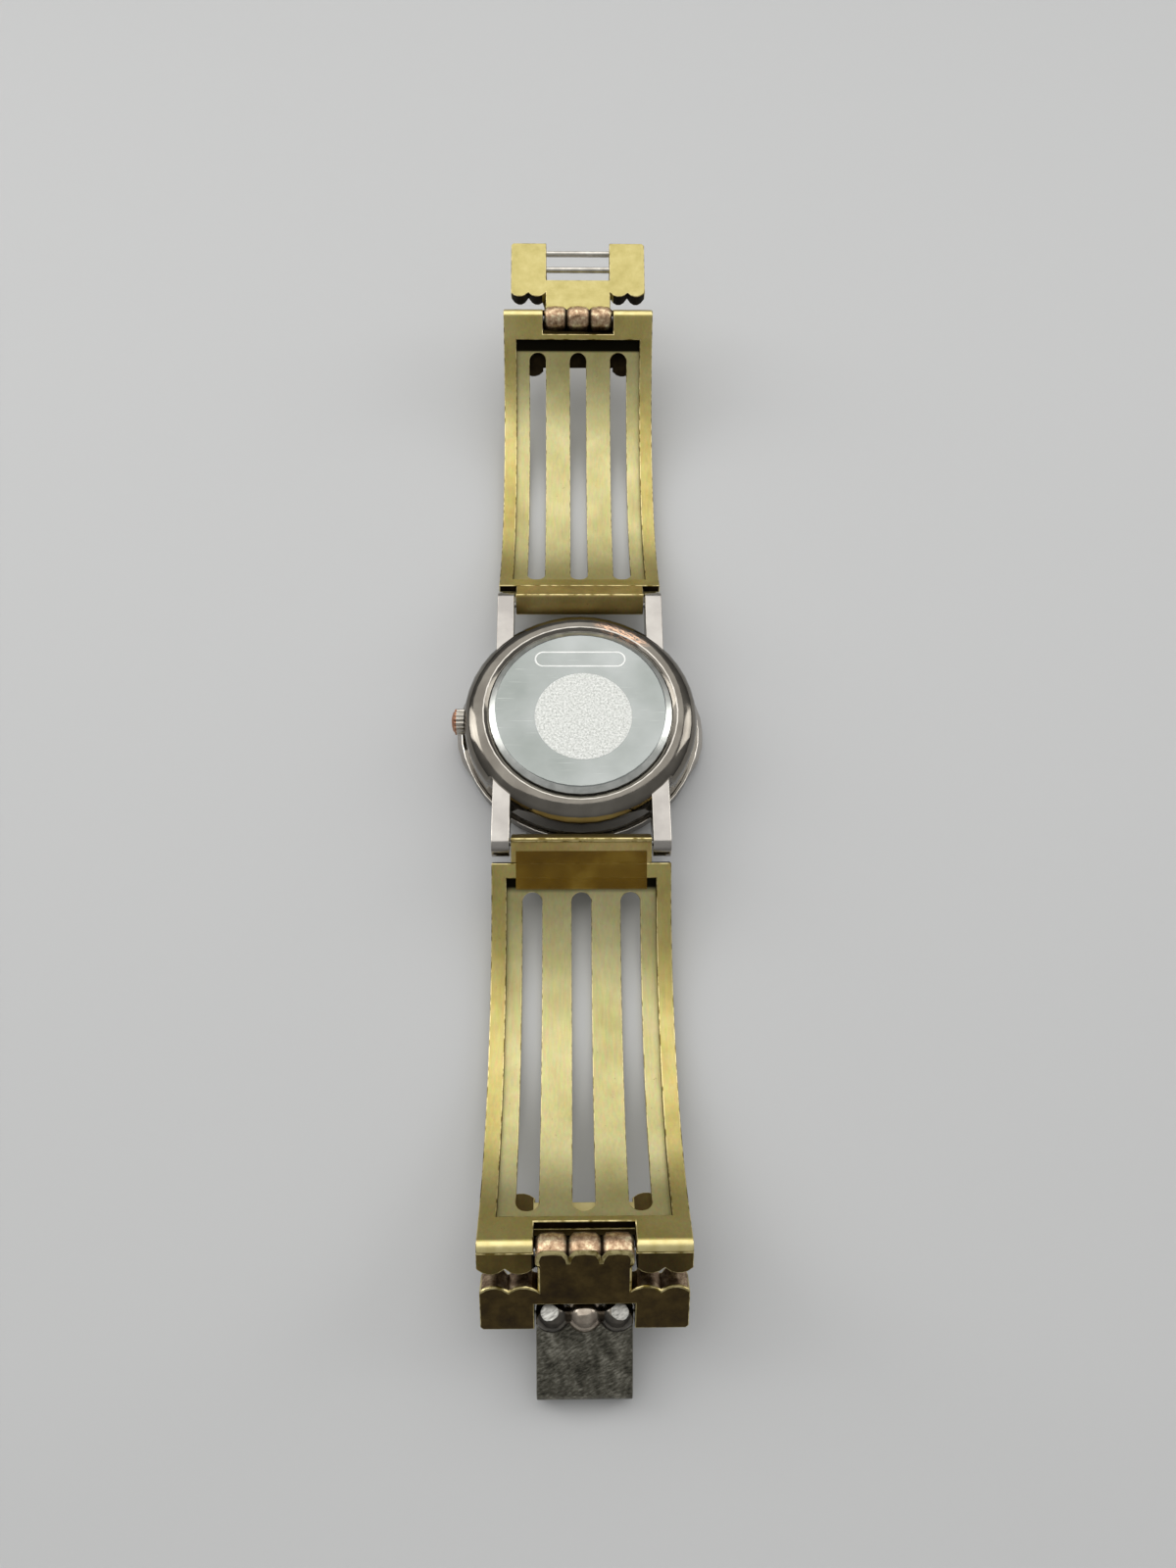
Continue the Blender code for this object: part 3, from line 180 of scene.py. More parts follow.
def linear(code):
    """A hex colour as the linear values that shaders take."""
    values = [int(code[k:k + 2], 16) / 255 for k in (1, 3, 5)]
    return tuple(v / 12.92 if v <= 0.04045 else ((v + 0.055) / 1.055) ** 2.4 for v in values) + (1.0,)


def per(size):
    """The texture scale whose features are about this large."""
    return 1.0 / size


def add(tree, kind, inputs=None, stops=None, **settings):
    """Adds one node with its settings, its colour stops, and its inputs as values or links."""
    made = tree.nodes.new("ShaderNode" + kind)
    for name, value in settings.items():
        setattr(made, name, value)
    if stops:
        ramp = made.color_ramp.elements
        while len(ramp) < len(stops):
            ramp.new(1.0)
        for stop, (place, colour) in zip(ramp, stops):
            stop.position = place
            stop.color = linear(colour)
    for socket, value in (inputs or {}).items():
        if isinstance(value, bpy.types.NodeSocket):
            tree.links.new(value, made.inputs[socket])
        else:
            made.inputs[socket].default_value = value
    return made


def start(name, roughness, metallic=1.0):
    """An empty finish: the material, its nodes, its shader and the place on the piece."""
    material = bpy.data.materials.new(name)
    material.use_nodes = True
    tree = material.node_tree
    shader = tree.nodes["Principled BSDF"]
    shader.inputs["Roughness"].default_value = roughness
    shader.inputs["Metallic"].default_value = metallic
    place = add(tree, "TexCoord").outputs["Object"]
    return material, tree, shader, place


def aged_brass(name, deep, mid, pale, spot, rough, shade=None):
    """Rolled brass sheet, rubbed satin and tarnished: olive clouds, fine lengthwise rub marks, grit and pits; given a
    band along Y, it paints a shadow past it, darkening to near black.
    """
    material, tree, shader, place = start(name, rough)
    clouds = add(tree, "TexNoise", {"Vector": place, "Scale": per(9.0 * MM), "Detail": 6.0, "Roughness": 0.55})
    tone = add(tree, "ValToRGB", {"Fac": clouds.outputs["Fac"]}, ((0.30, deep), (0.5, mid), (0.72, pale)))
    stretch = add(tree, "Mapping", {"Vector": place, "Scale": (1.0, 0.12, 1.0)})
    rub = add(tree, "TexNoise", {"Vector": stretch.outputs["Vector"], "Scale": per(0.35 * MM), "Detail": 4.0})
    grit = add(tree, "TexNoise", {"Vector": place, "Scale": per(0.22 * MM), "Detail": 3.0, "Roughness": 0.7})
    rubbed = add(tree, "Mix", {0: 0.22, 6: tone.outputs["Color"], 7: rub.outputs["Color"]},
                 data_type="RGBA", blend_type="OVERLAY")
    gritty = add(tree, "Mix", {0: 0.16, 6: rubbed.outputs[2], 7: grit.outputs["Color"]},
                 data_type="RGBA", blend_type="SOFT_LIGHT")
    pits = add(tree, "TexNoise", {"Vector": place, "Scale": per(0.75 * MM), "Detail": 4.0, "Roughness": 0.75})
    pitted = add(tree, "MapRange", {"Value": pits.outputs["Fac"], "From Min": 0.66, "From Max": 0.74, "To Max": 0.75})
    final = add(tree, "Mix", {0: pitted.outputs["Result"], 6: gritty.outputs[2], 7: linear(spot)}, data_type="RGBA")
    # Painted shadow: past the given band along Y the brass darkens to near black, in place of the shadow that the
    # frame's edge casts on the sunken grille.
    if shade:
        along = add(tree, "SeparateXYZ", {"Vector": place})
        painted_shade = add(tree, "MapRange", {"Value": along.outputs["Y"], "From Min": shade[0], "From Max": shade[1],
                                       "To Max": 0.99})
        final = add(tree, "Mix", {0: painted_shade.outputs["Result"], 6: final.outputs[2], 7: linear("#0a0805")},
                    data_type="RGBA")
    tree.links.new(final.outputs[2], shader.inputs["Base Color"])
    dull = add(tree, "MapRange", {"Value": clouds.outputs["Fac"], "From Min": 0.3, "From Max": 0.7,
                                  "To Min": rough + 0.04, "To Max": rough - 0.04})
    tree.links.new(dull.outputs["Result"], shader.inputs["Roughness"])
    bump = add(tree, "Bump", {"Height": grit.outputs["Fac"], "Strength": 0.22, "Distance": 0.03 * MM})
    tree.links.new(bump.outputs["Normal"], shader.inputs["Normal"])
    return material


def bare_brass(name, colour, rough):
    """Brass rubbed bright on an edge, with the tarnish worn off in dashes."""
    material, tree, shader, place = start(name, rough)
    dashes = add(tree, "TexNoise", {"Vector": place, "Scale": per(1.1 * MM), "Detail": 4.0})
    tone = add(tree, "ValToRGB", {"Fac": dashes.outputs["Fac"]}, ((0.36, "#7d6c36"), (0.56, colour)))
    tree.links.new(tone.outputs["Color"], shader.inputs["Base Color"])
    return material


def brown_patina(name, deep, mid, lit, rough):
    """Brass with soft dark clouds over a satin face, in the tones it is given: a brown patina on the hook link,
    darkened there with painted shade, and painted shade alone on shaded walls and undersides.
    """
    material, tree, shader, place = start(name, rough)
    clouds = add(tree, "TexNoise", {"Vector": place, "Scale": per(2.4 * MM), "Detail": 6.0, "Roughness": 0.65})
    tone = add(tree, "ValToRGB", {"Fac": clouds.outputs["Fac"]}, ((0.32, deep), (0.52, mid), (0.75, lit)))
    tree.links.new(tone.outputs["Color"], shader.inputs["Base Color"])
    grit = add(tree, "TexNoise", {"Vector": place, "Scale": per(0.25 * MM), "Detail": 4.0, "Roughness": 0.7})
    bump = add(tree, "Bump", {"Height": grit.outputs["Fac"], "Strength": 0.25, "Distance": 0.03 * MM})
    tree.links.new(bump.outputs["Normal"], shader.inputs["Normal"])
    return material


def filed_copper(name, deep, mid, lit):
    """Brass filed by hand at the hinge and burnt coppery: rough, brown hollows, bright scrapes, and painted shade
    darkening the grooves between the drums.
    """
    material, tree, shader, place = start(name, 0.36)
    filed = add(tree, "TexNoise", {"Vector": place, "Scale": per(1.0 * MM), "Detail": 6.0, "Roughness": 0.7})
    tone = add(tree, "ValToRGB", {"Fac": filed.outputs["Fac"]},
               ((0.26, "#3a2e25"), (0.38, deep), (0.50, mid), (0.64, lit)))
    # Painted shade: near black in a band round each groove between the drums, fading out away from it.
    across = add(tree, "SeparateXYZ", {"Vector": place})
    side = add(tree, "Math", {0: across.outputs["X"]}, operation="ABSOLUTE")
    past = add(tree, "Math", {0: side.outputs["Value"], 1: GROOVE_X}, operation="SUBTRACT")
    away = add(tree, "Math", {0: past.outputs["Value"]}, operation="ABSOLUTE")
    painted_light = add(tree, "MapRange", {"Value": away.outputs["Value"], "From Min": GROOVE_SPREAD[0],
                                   "From Max": GROOVE_SPREAD[1]})
    final = add(tree, "Mix", {0: painted_light.outputs["Result"], 6: linear("#1d150d"), 7: tone.outputs["Color"]},
                data_type="RGBA")
    tree.links.new(final.outputs[2], shader.inputs["Base Color"])
    grit = add(tree, "TexNoise", {"Vector": place, "Scale": per(0.45 * MM), "Detail": 4.0, "Roughness": 0.7})
    bump = add(tree, "Bump", {"Height": grit.outputs["Fac"], "Strength": 0.5, "Distance": 0.08 * MM})
    tree.links.new(bump.outputs["Normal"], shader.inputs["Normal"])
    return material


def dark_chrome(name, colour, pale, rough):
    """Black-chrome plating, polished, with faint cloudy wear and a stroke where the copper shows through."""
    material, tree, shader, place = start(name, rough)
    clouds = add(tree, "TexNoise", {"Vector": place, "Scale": per(5.0 * MM), "Detail": 4.0})
    tone = add(tree, "ValToRGB", {"Fac": clouds.outputs["Fac"]}, ((0.35, colour), (0.7, pale)))
    stroke = add(tree, "Mapping", {"Vector": place, "Location": WORN_CENTRE, "Rotation": (0.0, 0.0, WORN_TURN),
                                   "Scale": (WORN_HALF[0], WORN_HALF[1], 1.0)}, vector_type="TEXTURE")
    flat = add(tree, "VectorMath", {0: stroke.outputs["Vector"], 1: (1.0, 1.0, 0.0)}, operation="MULTIPLY")
    inside = add(tree, "VectorMath", {0: flat.outputs["Vector"]}, operation="LENGTH")
    fade = add(tree, "MapRange", {"Value": inside.outputs["Value"], "From Min": 1.15, "From Max": 0.55})
    lines = add(tree, "TexNoise", {"Vector": flat.outputs["Vector"], "Scale": 4.0, "Detail": 6.0, "Roughness": 0.75})
    torn = add(tree, "MapRange", {"Value": lines.outputs["Fac"], "From Min": 0.47, "From Max": 0.53})
    both = add(tree, "Math", {0: fade.outputs["Result"], 1: torn.outputs["Result"]}, operation="MULTIPLY")
    final = add(tree, "Mix", {0: both.outputs["Value"], 6: tone.outputs["Color"], 7: linear("#e0b596")},
                data_type="RGBA")
    tree.links.new(final.outputs[2], shader.inputs["Base Color"])
    haze = add(tree, "TexNoise", {"Vector": place, "Scale": per(1.2 * MM), "Detail": 5.0})
    dull = add(tree, "MapRange", {"Value": haze.outputs["Fac"], "From Min": 0.35, "From Max": 0.7,
                                  "To Min": rough - 0.03, "To Max": rough + 0.08})
    tree.links.new(dull.outputs["Result"], shader.inputs["Roughness"])
    return material


def polished_steel(name, colour, pale, rough):
    """Stainless steel, buffed: hazy smears and hairline scratches."""
    material, tree, shader, place = start(name, rough)
    smears = add(tree, "TexNoise", {"Vector": place, "Scale": per(14.0 * MM), "Detail": 4.0, "Roughness": 0.5})
    tone = add(tree, "ValToRGB", {"Fac": smears.outputs["Fac"]}, ((0.32, colour), (0.66, pale)))
    slant = add(tree, "Mapping", {"Vector": place, "Rotation": (0.0, 0.0, 0.6), "Scale": (0.03, 1.0, 1.0)})
    hair = add(tree, "TexNoise", {"Vector": slant.outputs["Vector"], "Scale": per(0.16 * MM), "Detail": 2.0})
    cut = add(tree, "MapRange", {"Value": hair.outputs["Fac"], "From Min": 0.66, "From Max": 0.76, "To Max": 0.3})
    final = add(tree, "Mix", {0: cut.outputs["Result"], 6: tone.outputs["Color"], 7: linear("#d8d9d4")},
                data_type="RGBA")
    tree.links.new(final.outputs[2], shader.inputs["Base Color"])
    dull = add(tree, "MapRange", {"Value": smears.outputs["Fac"], "From Min": 0.3, "From Max": 0.7,
                                  "To Min": rough, "To Max": rough + 0.12})
    tree.links.new(dull.outputs["Result"], shader.inputs["Roughness"])
    return material


def frosted_steel(name, colour):
    """Steel etched matt: an even sparkle of fine pits."""
    material, tree, shader, place = start(name, 0.55)
    pits = add(tree, "TexNoise", {"Vector": place, "Scale": per(0.3 * MM), "Detail": 4.0, "Roughness": 0.8})
    tone = add(tree, "ValToRGB", {"Fac": pits.outputs["Fac"]}, ((0.34, "#a2a39d"), (0.5, colour), (0.66, "#ecece8")))
    tree.links.new(tone.outputs["Color"], shader.inputs["Base Color"])
    bump = add(tree, "Bump", {"Height": pits.outputs["Fac"], "Strength": 0.5, "Distance": 0.03 * MM})
    tree.links.new(bump.outputs["Normal"], shader.inputs["Normal"])
    return material


def filed_steel(name, deep, mid, pale):
    """Steel blackened and filed by hand: short slanting strokes in rows, with a few bright cuts."""
    material, tree, shader, place = start(name, 0.5)
    slant = add(tree, "Mapping", {"Vector": place, "Rotation": (0.0, 0.0, 0.5), "Scale": (3.5, 1.0, 1.0)},
                vector_type="TEXTURE")
    strokes = add(tree, "TexNoise", {"Vector": slant.outputs["Vector"], "Scale": per(0.24 * MM), "Detail": 3.0,
                                     "Roughness": 0.6, "Distortion": 0.3})
    rows = add(tree, "Mapping", {"Vector": place, "Rotation": (0.0, 0.0, -1.2), "Scale": (6.0, 1.0, 1.0)},
               vector_type="TEXTURE")
    columns = add(tree, "TexNoise", {"Vector": rows.outputs["Vector"], "Scale": per(1.3 * MM), "Detail": 2.0})
    shade = add(tree, "Mix", {0: 0.4, 2: strokes.outputs["Fac"], 3: columns.outputs["Fac"]})
    tone = add(tree, "ValToRGB", {"Fac": shade.outputs[0]}, ((0.36, deep), (0.52, mid), (0.68, pale)))
    tree.links.new(tone.outputs["Color"], shader.inputs["Base Color"])
    bump = add(tree, "Bump", {"Height": strokes.outputs["Fac"], "Strength": 0.55, "Distance": 0.06 * MM})
    tree.links.new(bump.outputs["Normal"], shader.inputs["Normal"])
    return material


def plain_metal(name, colour, pale, rough, cloud=1.5 * MM):
    """Turned or drawn metal in one tone, with slight cloudiness."""
    material, tree, shader, place = start(name, rough)
    clouds = add(tree, "TexNoise", {"Vector": place, "Scale": per(cloud), "Detail": 4.0})
    tone = add(tree, "ValToRGB", {"Fac": clouds.outputs["Fac"]}, ((0.35, colour), (0.65, pale)))
    tree.links.new(tone.outputs["Color"], shader.inputs["Base Color"])
    return material


def matt_solid(name, colour, pale, rough, grain):
    """Rubber, lacquer or moulded plastic: one colour with a fine grain."""
    material, tree, shader, place = start(name, rough, 0.0)
    speck = add(tree, "TexNoise", {"Vector": place, "Scale": per(grain), "Detail": 3.0})
    tone = add(tree, "ValToRGB", {"Fac": speck.outputs["Fac"]}, ((0.3, colour), (0.7, pale)))
    tree.links.new(tone.outputs["Color"], shader.inputs["Base Color"])
    bump = add(tree, "Bump", {"Height": speck.outputs["Fac"], "Strength": 0.15, "Distance": 0.02 * MM})
    tree.links.new(bump.outputs["Normal"], shader.inputs["Normal"])
    return material


def mineral_glass(name):
    """Flat mineral glass: clear, with a polish."""
    material, _, shader, _ = start(name, 0.03, 0.0)
    shader.inputs["Base Color"].default_value = linear("#f4f8f7")
    shader.inputs["IOR"].default_value = 1.52
    shader.inputs["Transmission Weight"].default_value = 1.0
    return material


def amber_film(name):
    """Thin amber label film, slightly cloudy, with the brass showing through."""
    material, tree, shader, place = start(name, 0.22, 0.0)
    clouds = add(tree, "TexNoise", {"Vector": place, "Scale": per(4.0 * MM), "Detail": 3.0, "Roughness": 0.5})
    tone = add(tree, "ValToRGB", {"Fac": clouds.outputs["Fac"]},
               ((0.3, "#64490a"), (0.55, "#745710"), (0.75, "#8c7026")))
    tree.links.new(tone.outputs["Color"], shader.inputs["Base Color"])
    shader.inputs["Alpha"].default_value = 0.60
    shader.inputs["Specular IOR Level"].default_value = 0.2
    return material


GRILLE_TONES = ("#aca26c", "#bab17c", "#c8bf8d", "#776b3c", 0.38)
finishes = {
    "frame": aged_brass("satin_brass_frame", "#a59557", "#b8a968", "#c9bb7d", "#72622f", 0.34),
    # The grille finishes carry a painted shadow past the band given by UPPER_SHADE and LOWER_SHADE.
    "upper_grille": aged_brass("satin_brass_upper_grille", *GRILLE_TONES, UPPER_SHADE),
    "lower_grille": aged_brass("satin_brass_lower_grille", *GRILLE_TONES, LOWER_SHADE),
    "catch": brown_patina("satin_brass_catch_link", "#b1a468", "#bdb074", "#c9bd84", 0.44),
    # Painted highlight: pale brass put on the frames' rolled lips and on the upward middle of the near end block, where
    # the light catches.
    "painted_light": plain_metal("painted_highlight_brass", "#d9c98a", "#e8da9e", 0.4),
    # The hook link: a brown patina, darkened further with painted shade for a link face turned from the light.
    "hook_link": brown_patina("brown_shade_darkened_brass_hook_link", "#3c3020", "#524326", "#6a5832", 0.40),
    "knuckle": filed_copper("filed_copper_knuckle", "#8f7458", "#bf9f80", "#f0e2b8"),
    "arm": filed_copper("filed_copper_arm", "#6b5744", "#8f7862", "#c2ad90"),
    # Painted shade: near-black brass on window and notch walls, on the catch link's arm ends, and on the upper end
    # block under the grille.
    "painted_shade": brown_patina("painted_shade_brass", "#17130c", "#241d12", "#352b1a", 0.6),
    "lug_bar": aged_brass("tarnished_brass_lug_bar", "#8f7a45", "#b39d60", "#cdb97c", "#5c4828", 0.36),
    # The end blocks: tarnished brass, painted darker as shade for the parts seen under the panels.
    "end_block": aged_brass("tarnished_shade_darkened_brass_end_block", "#3c3120", "#5c4d2b", "#85723f", "#2a2013", 0.42),
    "edge": bare_brass("bare_brass_edge", "#e0d096", 0.30),
    "case": dark_chrome("black_chrome_case", "#6c675f", "#827d74", 0.09),
    # Pale silver on the lugs, and on the bezel's side shoulders as a painted highlight.
    "lug": plain_metal("pale_silver_lug_and_shoulder_highlight", "#a19c96", "#b7b2ab", 0.20, 6.0 * MM),
    "case_edge": plain_metal("worn_chrome_edge", "#b3ada3", "#d2ccc2", 0.22),
    "back": polished_steel("buffed_steel_back", "#878c87", "#a6a9a6", 0.12),
    "back_edge": plain_metal("buffed_steel_edge", "#b9bbb5", "#d4d5cf", 0.30),
    "etch": plain_metal("etched_steel_line", "#d3d4cf", "#e4e4e0", 0.5),
    "frost": frosted_steel("etched_steel", "#cfd0cb"),
    "hook": filed_steel("filed_blackened_steel", "#434139", "#726f63", "#aeaa9c"),
    "bead": plain_metal("polished_dark_bead", "#4a4742", "#67625a", 0.16),
    "copper_bead": plain_metal("worn_copper_bead", "#8a7e72", "#b5aa9b", 0.22),
    "facet": filed_steel("filed_bright_facet", "#6f6d67", "#b4b2ab", "#dcdad2"),
    "hook_edge": plain_metal("filed_bright_edge", "#7b7870", "#a8a59c", 0.35),
    "pin": plain_metal("drawn_steel_pin", "#b9b4a9", "#dad5ca", 0.20),
    "crown": plain_metal("worn_chrome_crown", "#aea89d", "#d3cdc2", 0.18),
    "cap": plain_metal("worn_copper_cap", "#8f5639", "#bd8460", 0.34),
    "steel": plain_metal("plain_steel", "#9b9a96", "#b7b6b1", 0.3),
    "movement": plain_metal("nickelled_movement", "#a79a6c", "#c0b48a", 0.32),
    "copper": plain_metal("copper_winding", "#8f4a2b", "#b56d45", 0.4),
    "gilt": plain_metal("gilt_hands", "#b89a55", "#d3b977", 0.22),
    "rubber": matt_solid("black_seal_rubber", "#121212", "#1d1d1c", 0.7, 0.3 * MM),
    "dial": matt_solid("cream_dial_lacquer", "#e0d9c4", "#e9e3d1", 0.35, 0.4 * MM),
    "plastic": matt_solid("white_movement_plastic", "#d2d2cd", "#dededa", 0.5, 0.3 * MM),
    "glass": mineral_glass("mineral_glass"),
    "film": amber_film("amber_label_film"),
}

# Every dressed CAD piece: its finish, the finish of its worn edges and how far the edges are broken, in mm
DRESS = {
    "upper_frame": ("frame", "edge", 0.14), "lower_frame": ("frame", "edge", 0.14),
    "upper_grille": ("upper_grille", "edge", 0.10), "lower_grille": ("lower_grille", "edge", 0.10),
    "upper_lug_bar": ("lug_bar", "edge", 0.12), "lower_lug_bar": ("lug_bar", "edge", 0.12),
    "upper_end_block": ("end_block", "edge", 0.10), "lower_end_block": ("end_block", "edge", 0.10),
    "catch_link": ("catch", "edge", 0.12), "hook_link": ("hook_link", "edge", 0.28),
    "hook": ("hook", "hook_edge", 0.08),
    "mid_case": ("case", "case_edge", 0.10), "bezel": ("case", "case_edge", 0.12),
    "case_back": ("back", "back_edge", 0.06),
    "crown": ("crown", "crown", 0.04), "crown_cap": ("cap", "cap", 0.06),
    "catch_pin_inner": ("pin", "pin", 0.08), "catch_pin_outer": ("pin", "pin", 0.08),
    "crystal": ("glass", "glass", 0.06), "dial": ("dial", "gilt", 0.03),
    "hour_hand": ("gilt", "gilt", 0.03), "minute_hand": ("gilt", "gilt", 0.03),
    "second_hand": ("gilt", "gilt", 0.02),
}
# Pieces with detail too small to close up
FINE_WORK = ("crown", "crown_cap", "dial", "hour_hand", "minute_hand", "second_hand", "case_back")
# CAD pieces that are shown as they are, by finish
PLAIN = {
    "steel": ("hook_pin", "upper_hinge_pin", "lower_hinge_pin", "upper_spring_bar", "lower_spring_bar",
              "upper_bar_tip_left", "upper_bar_tip_right", "lower_bar_tip_left", "lower_bar_tip_right",
              "crown_tube", "stem", "setting_lever", "battery", "battery_clamp", "clamp_screw"),
    "rubber": ("crystal_gasket", "case_back_gasket"),
    "movement": ("movement_plate",),
    "plastic": ("movement_ring",),
    "copper": ("coil",),
}


# Finishes whose own edges stay unbroken, and finishes beside which an edge is rubbed most; on the hook link that widest
# bright edge is also a painted highlight
ROUNDED = [finishes[name] for name in ("knuckle", "bead", "copper_bead", "facet", "painted_shade")]
RUBBED_AND_HIGHLIT = [finishes[name] for name in ("knuckle", "arm")]


def alone(item):
    """Selects one object and nothing else."""
    bpy.ops.object.select_all(action="DESELECT")
    item.select_set(True)
    bpy.context.view_layer.objects.active = item


def apply(item, kind, **settings):
    """Adds a modifier with its settings and applies it."""
    step = item.modifiers.new(kind.lower(), kind)
    for name, value in settings.items():
        setattr(step, name, value)
    alone(item)
    bpy.ops.object.modifier_apply(modifier=step.name)


def welded_copy(node):
    """A copy of a CAD piece with its loose triangles welded, its flats merged and its slivers closed up."""
    item = bpy.data.objects.new(node + "_finished", frame["nodes"][node].data.copy())
    bpy.context.scene.collection.objects.link(item)
    alone(item)
    bpy.ops.object.mode_set(mode="EDIT")
    bpy.ops.mesh.select_all(action="SELECT")
    bpy.ops.mesh.remove_doubles(threshold=WELD)
    bpy.ops.mesh.dissolve_limited(angle_limit=FLAT_ANGLE)
    if node not in FINE_WORK:
        bpy.ops.mesh.remove_doubles(threshold=SHORT_EDGE)
        bpy.ops.mesh.dissolve_degenerate(threshold=WELD)
    bpy.ops.object.mode_set(mode="OBJECT")
    return item


def close_slivers(item):
    """Closes up the faces and edges that the broken edges leave with no width."""
    alone(item)
    bpy.ops.object.mode_set(mode="EDIT")
    bpy.ops.mesh.select_all(action="SELECT")
    bpy.ops.mesh.dissolve_degenerate(threshold=SLIVER)
    bpy.ops.object.mode_set(mode="OBJECT")


def soften_drums(item):
    """Takes the outward creases out of a knuckle's drums, so that they look rounded."""
    mesh = bmesh.new()
    mesh.from_mesh(item.data)
    for edge in mesh.edges:
        drums = [face for face in edge.link_faces if abs(face.normal.x) < DRUM_END
                 and item.data.materials[face.material_index] == finishes["knuckle"]]
        if len(drums) == 2 and edge.calc_face_angle_signed(0.0) > 0.0:
            edge.smooth = True
    mesh.to_mesh(item.data)
    mesh.free()


def settle(item, body, *nodes):
    """Shades a finished piece, puts it on its body and takes the place of its CAD nodes."""
    alone(item)
    bpy.ops.object.shade_smooth_by_angle(angle=SMOOTH_ANGLE)
    soften_drums(item)
    apply(item, "WEIGHTED_NORMAL", keep_sharp=True)
    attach(item, body)
    if nodes:
        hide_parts(*nodes)


def add_finish(item, name):
    """Gives a piece one more finish, and says which number it has on the piece."""
    item.data.materials.append(finishes[name])
    return len(item.data.materials) - 1


def near_axis(face, axis, radius):
    """True for a face that lies on the round of a knuckle."""
    offset = face.center - axis
    return math.hypot(offset.y, offset.z) < ROUND_SLACK * radius


def bare_knuckle(item, joint, arm_finish, hand):
    """Filed copper on the drums round a link's hinge, not on the planed flat, and the arm ends in their own finish."""
    knuckle = add_finish(item, "knuckle")
    arm = add_finish(item, arm_finish)
    axis = Vector(joints[joint]["pos_m"])
    planed = max(item.data.polygons, key=lambda face: face.area).normal
    for face in item.data.polygons:
        facing = face.normal.dot(planed)
        arm_end = abs(face.center.x) > NOTCH_HALF and hand * face.normal.y > ARM_END
        if near_axis(face, axis, KNUCKLE_R) and facing < PLANED_FLAT:
            face.material_index = knuckle
        elif arm_end and abs(facing) < ARM_SKEW:
            face.material_index = arm


def paint_wall_shade_and_lip_highlight(item, hand):
    """Painted shade on the walls of a panel's window and notch, which face along the sheet, and on the upper end block
    under the grille; a painted highlight on the frame's rolled lip, on faces turned up and towards the panel's end.
    """
    painted_shade = add_finish(item, "painted_shade")
    painted_light = add_finish(item, "painted_light")
    centre = Vector((0.0, -hand * CURVE_CENTRE[0], CURVE_CENTRE[1]))
    for face in item.data.polygons:
        outward = (face.center - centre) * Vector((0.0, 1.0, 1.0))
        wall = abs(face.normal.dot(outward.normalized())) < WALL_TILT
        beside_notch = abs(face.center.x) < NOTCH_HALF
        beside_window = abs(face.center.x) < WINDOW_HALF and abs(face.center.y) < NOTCH_Y
        under_grille = item.name.startswith("upper_end_block") and face.center.y < NOTCH_Y
        on_lip = hand * face.normal.y > LIP_LEAN and face.normal.z > LIP_RISE and hand * face.center.y > LIP_Y
        # Painted shade on the walls and under the grille; painted highlight on the lip.
        if under_grille or wall and (beside_notch or beside_window):
            face.material_index = painted_shade
        elif "frame" in item.name and on_lip:
            face.material_index = painted_light
    return painted_light


def file_hook(item):
    """Rounds and polishes the beads of the hook, and files a flat facet on the two outer ones."""
    polished = add_finish(item, "bead")
    filed = add_finish(item, "facet")
    copper = add_finish(item, "copper_bead")
    axis = Vector(joints["hook_hinge"]["pos_m"])
    alone(item)
    bpy.ops.object.mode_set(mode="EDIT")
    bpy.ops.mesh.select_mode(type="FACE")
    bpy.ops.mesh.select_all(action="DESELECT")
    bpy.ops.object.mode_set(mode="OBJECT")
    for face in item.data.polygons:
        on_bead = near_axis(face, axis, BEAD_R)
        face.select = on_bead and abs(face.normal.x) < DRUM_END and len(face.vertices) == 4
        if on_bead:
            face.material_index = polished
    bpy.ops.object.mode_set(mode="EDIT")
    bpy.ops.mesh.subdivide(number_cuts=BEAD_CUTS)
    bpy.ops.object.mode_set(mode="OBJECT")
    for corner in item.data.vertices:
        offset = corner.co - axis
        reach = math.hypot(offset.y, offset.z)
        share = 2.0 * ((offset.x / BEAD_W + 0.5) % 1.0) - 1.0
        target = BEAD_R - BEAD_DROP * abs(share) ** BEAD_POWER
        if reach > target > BEAD_NECK and corner.co.z > axis.z - BEAD_FOOT:
            corner.co.y = axis.y + offset.y * target / reach
            corner.co.z = axis.z + offset.z * target / reach
    for face in item.data.polygons:
        if face.material_index == polished and abs(face.center.x) < BEAD_W / 2:
            face.material_index = copper
    file_facets(item, axis, polished, filed)


def file_facets(item, axis, polished, filed):
    """Cuts a flat facet on the two outer beads of the hook."""
    mesh = bmesh.new()
    mesh.from_mesh(item.data)
    for hand in (-1, 1):
        facing = Vector((hand * FACET_LEAN[0], FACET_LEAN[1], FACET_LEAN[2])).normalized()
        spot = axis + Vector((hand * BEAD_W, 0.0, 0.0)) + facing * (BEAD_R - FACET_DEPTH)
        bead = [face for face in mesh.faces
                if face.material_index == polished and hand * face.calc_center_median().x > 0.0]
        corners = {corner for face in bead for corner in face.verts}
        edges = {edge for face in bead for edge in face.edges}
        cut = bmesh.ops.bisect_plane(mesh, geom=[*corners, *edges, *bead], plane_co=spot, plane_no=facing)
        for corner in [part for part in cut["geom"] if isinstance(part, bmesh.types.BMVert)]:
            corner.co -= facing * max(0.0, (corner.co - spot).dot(facing))
        for face in [part for part in cut["geom"] if isinstance(part, bmesh.types.BMFace)]:
            if all(abs((corner.co - spot).dot(facing)) < WELD for corner in face.verts):
                face.material_index = filed
    mesh.to_mesh(item.data)
    mesh.free()


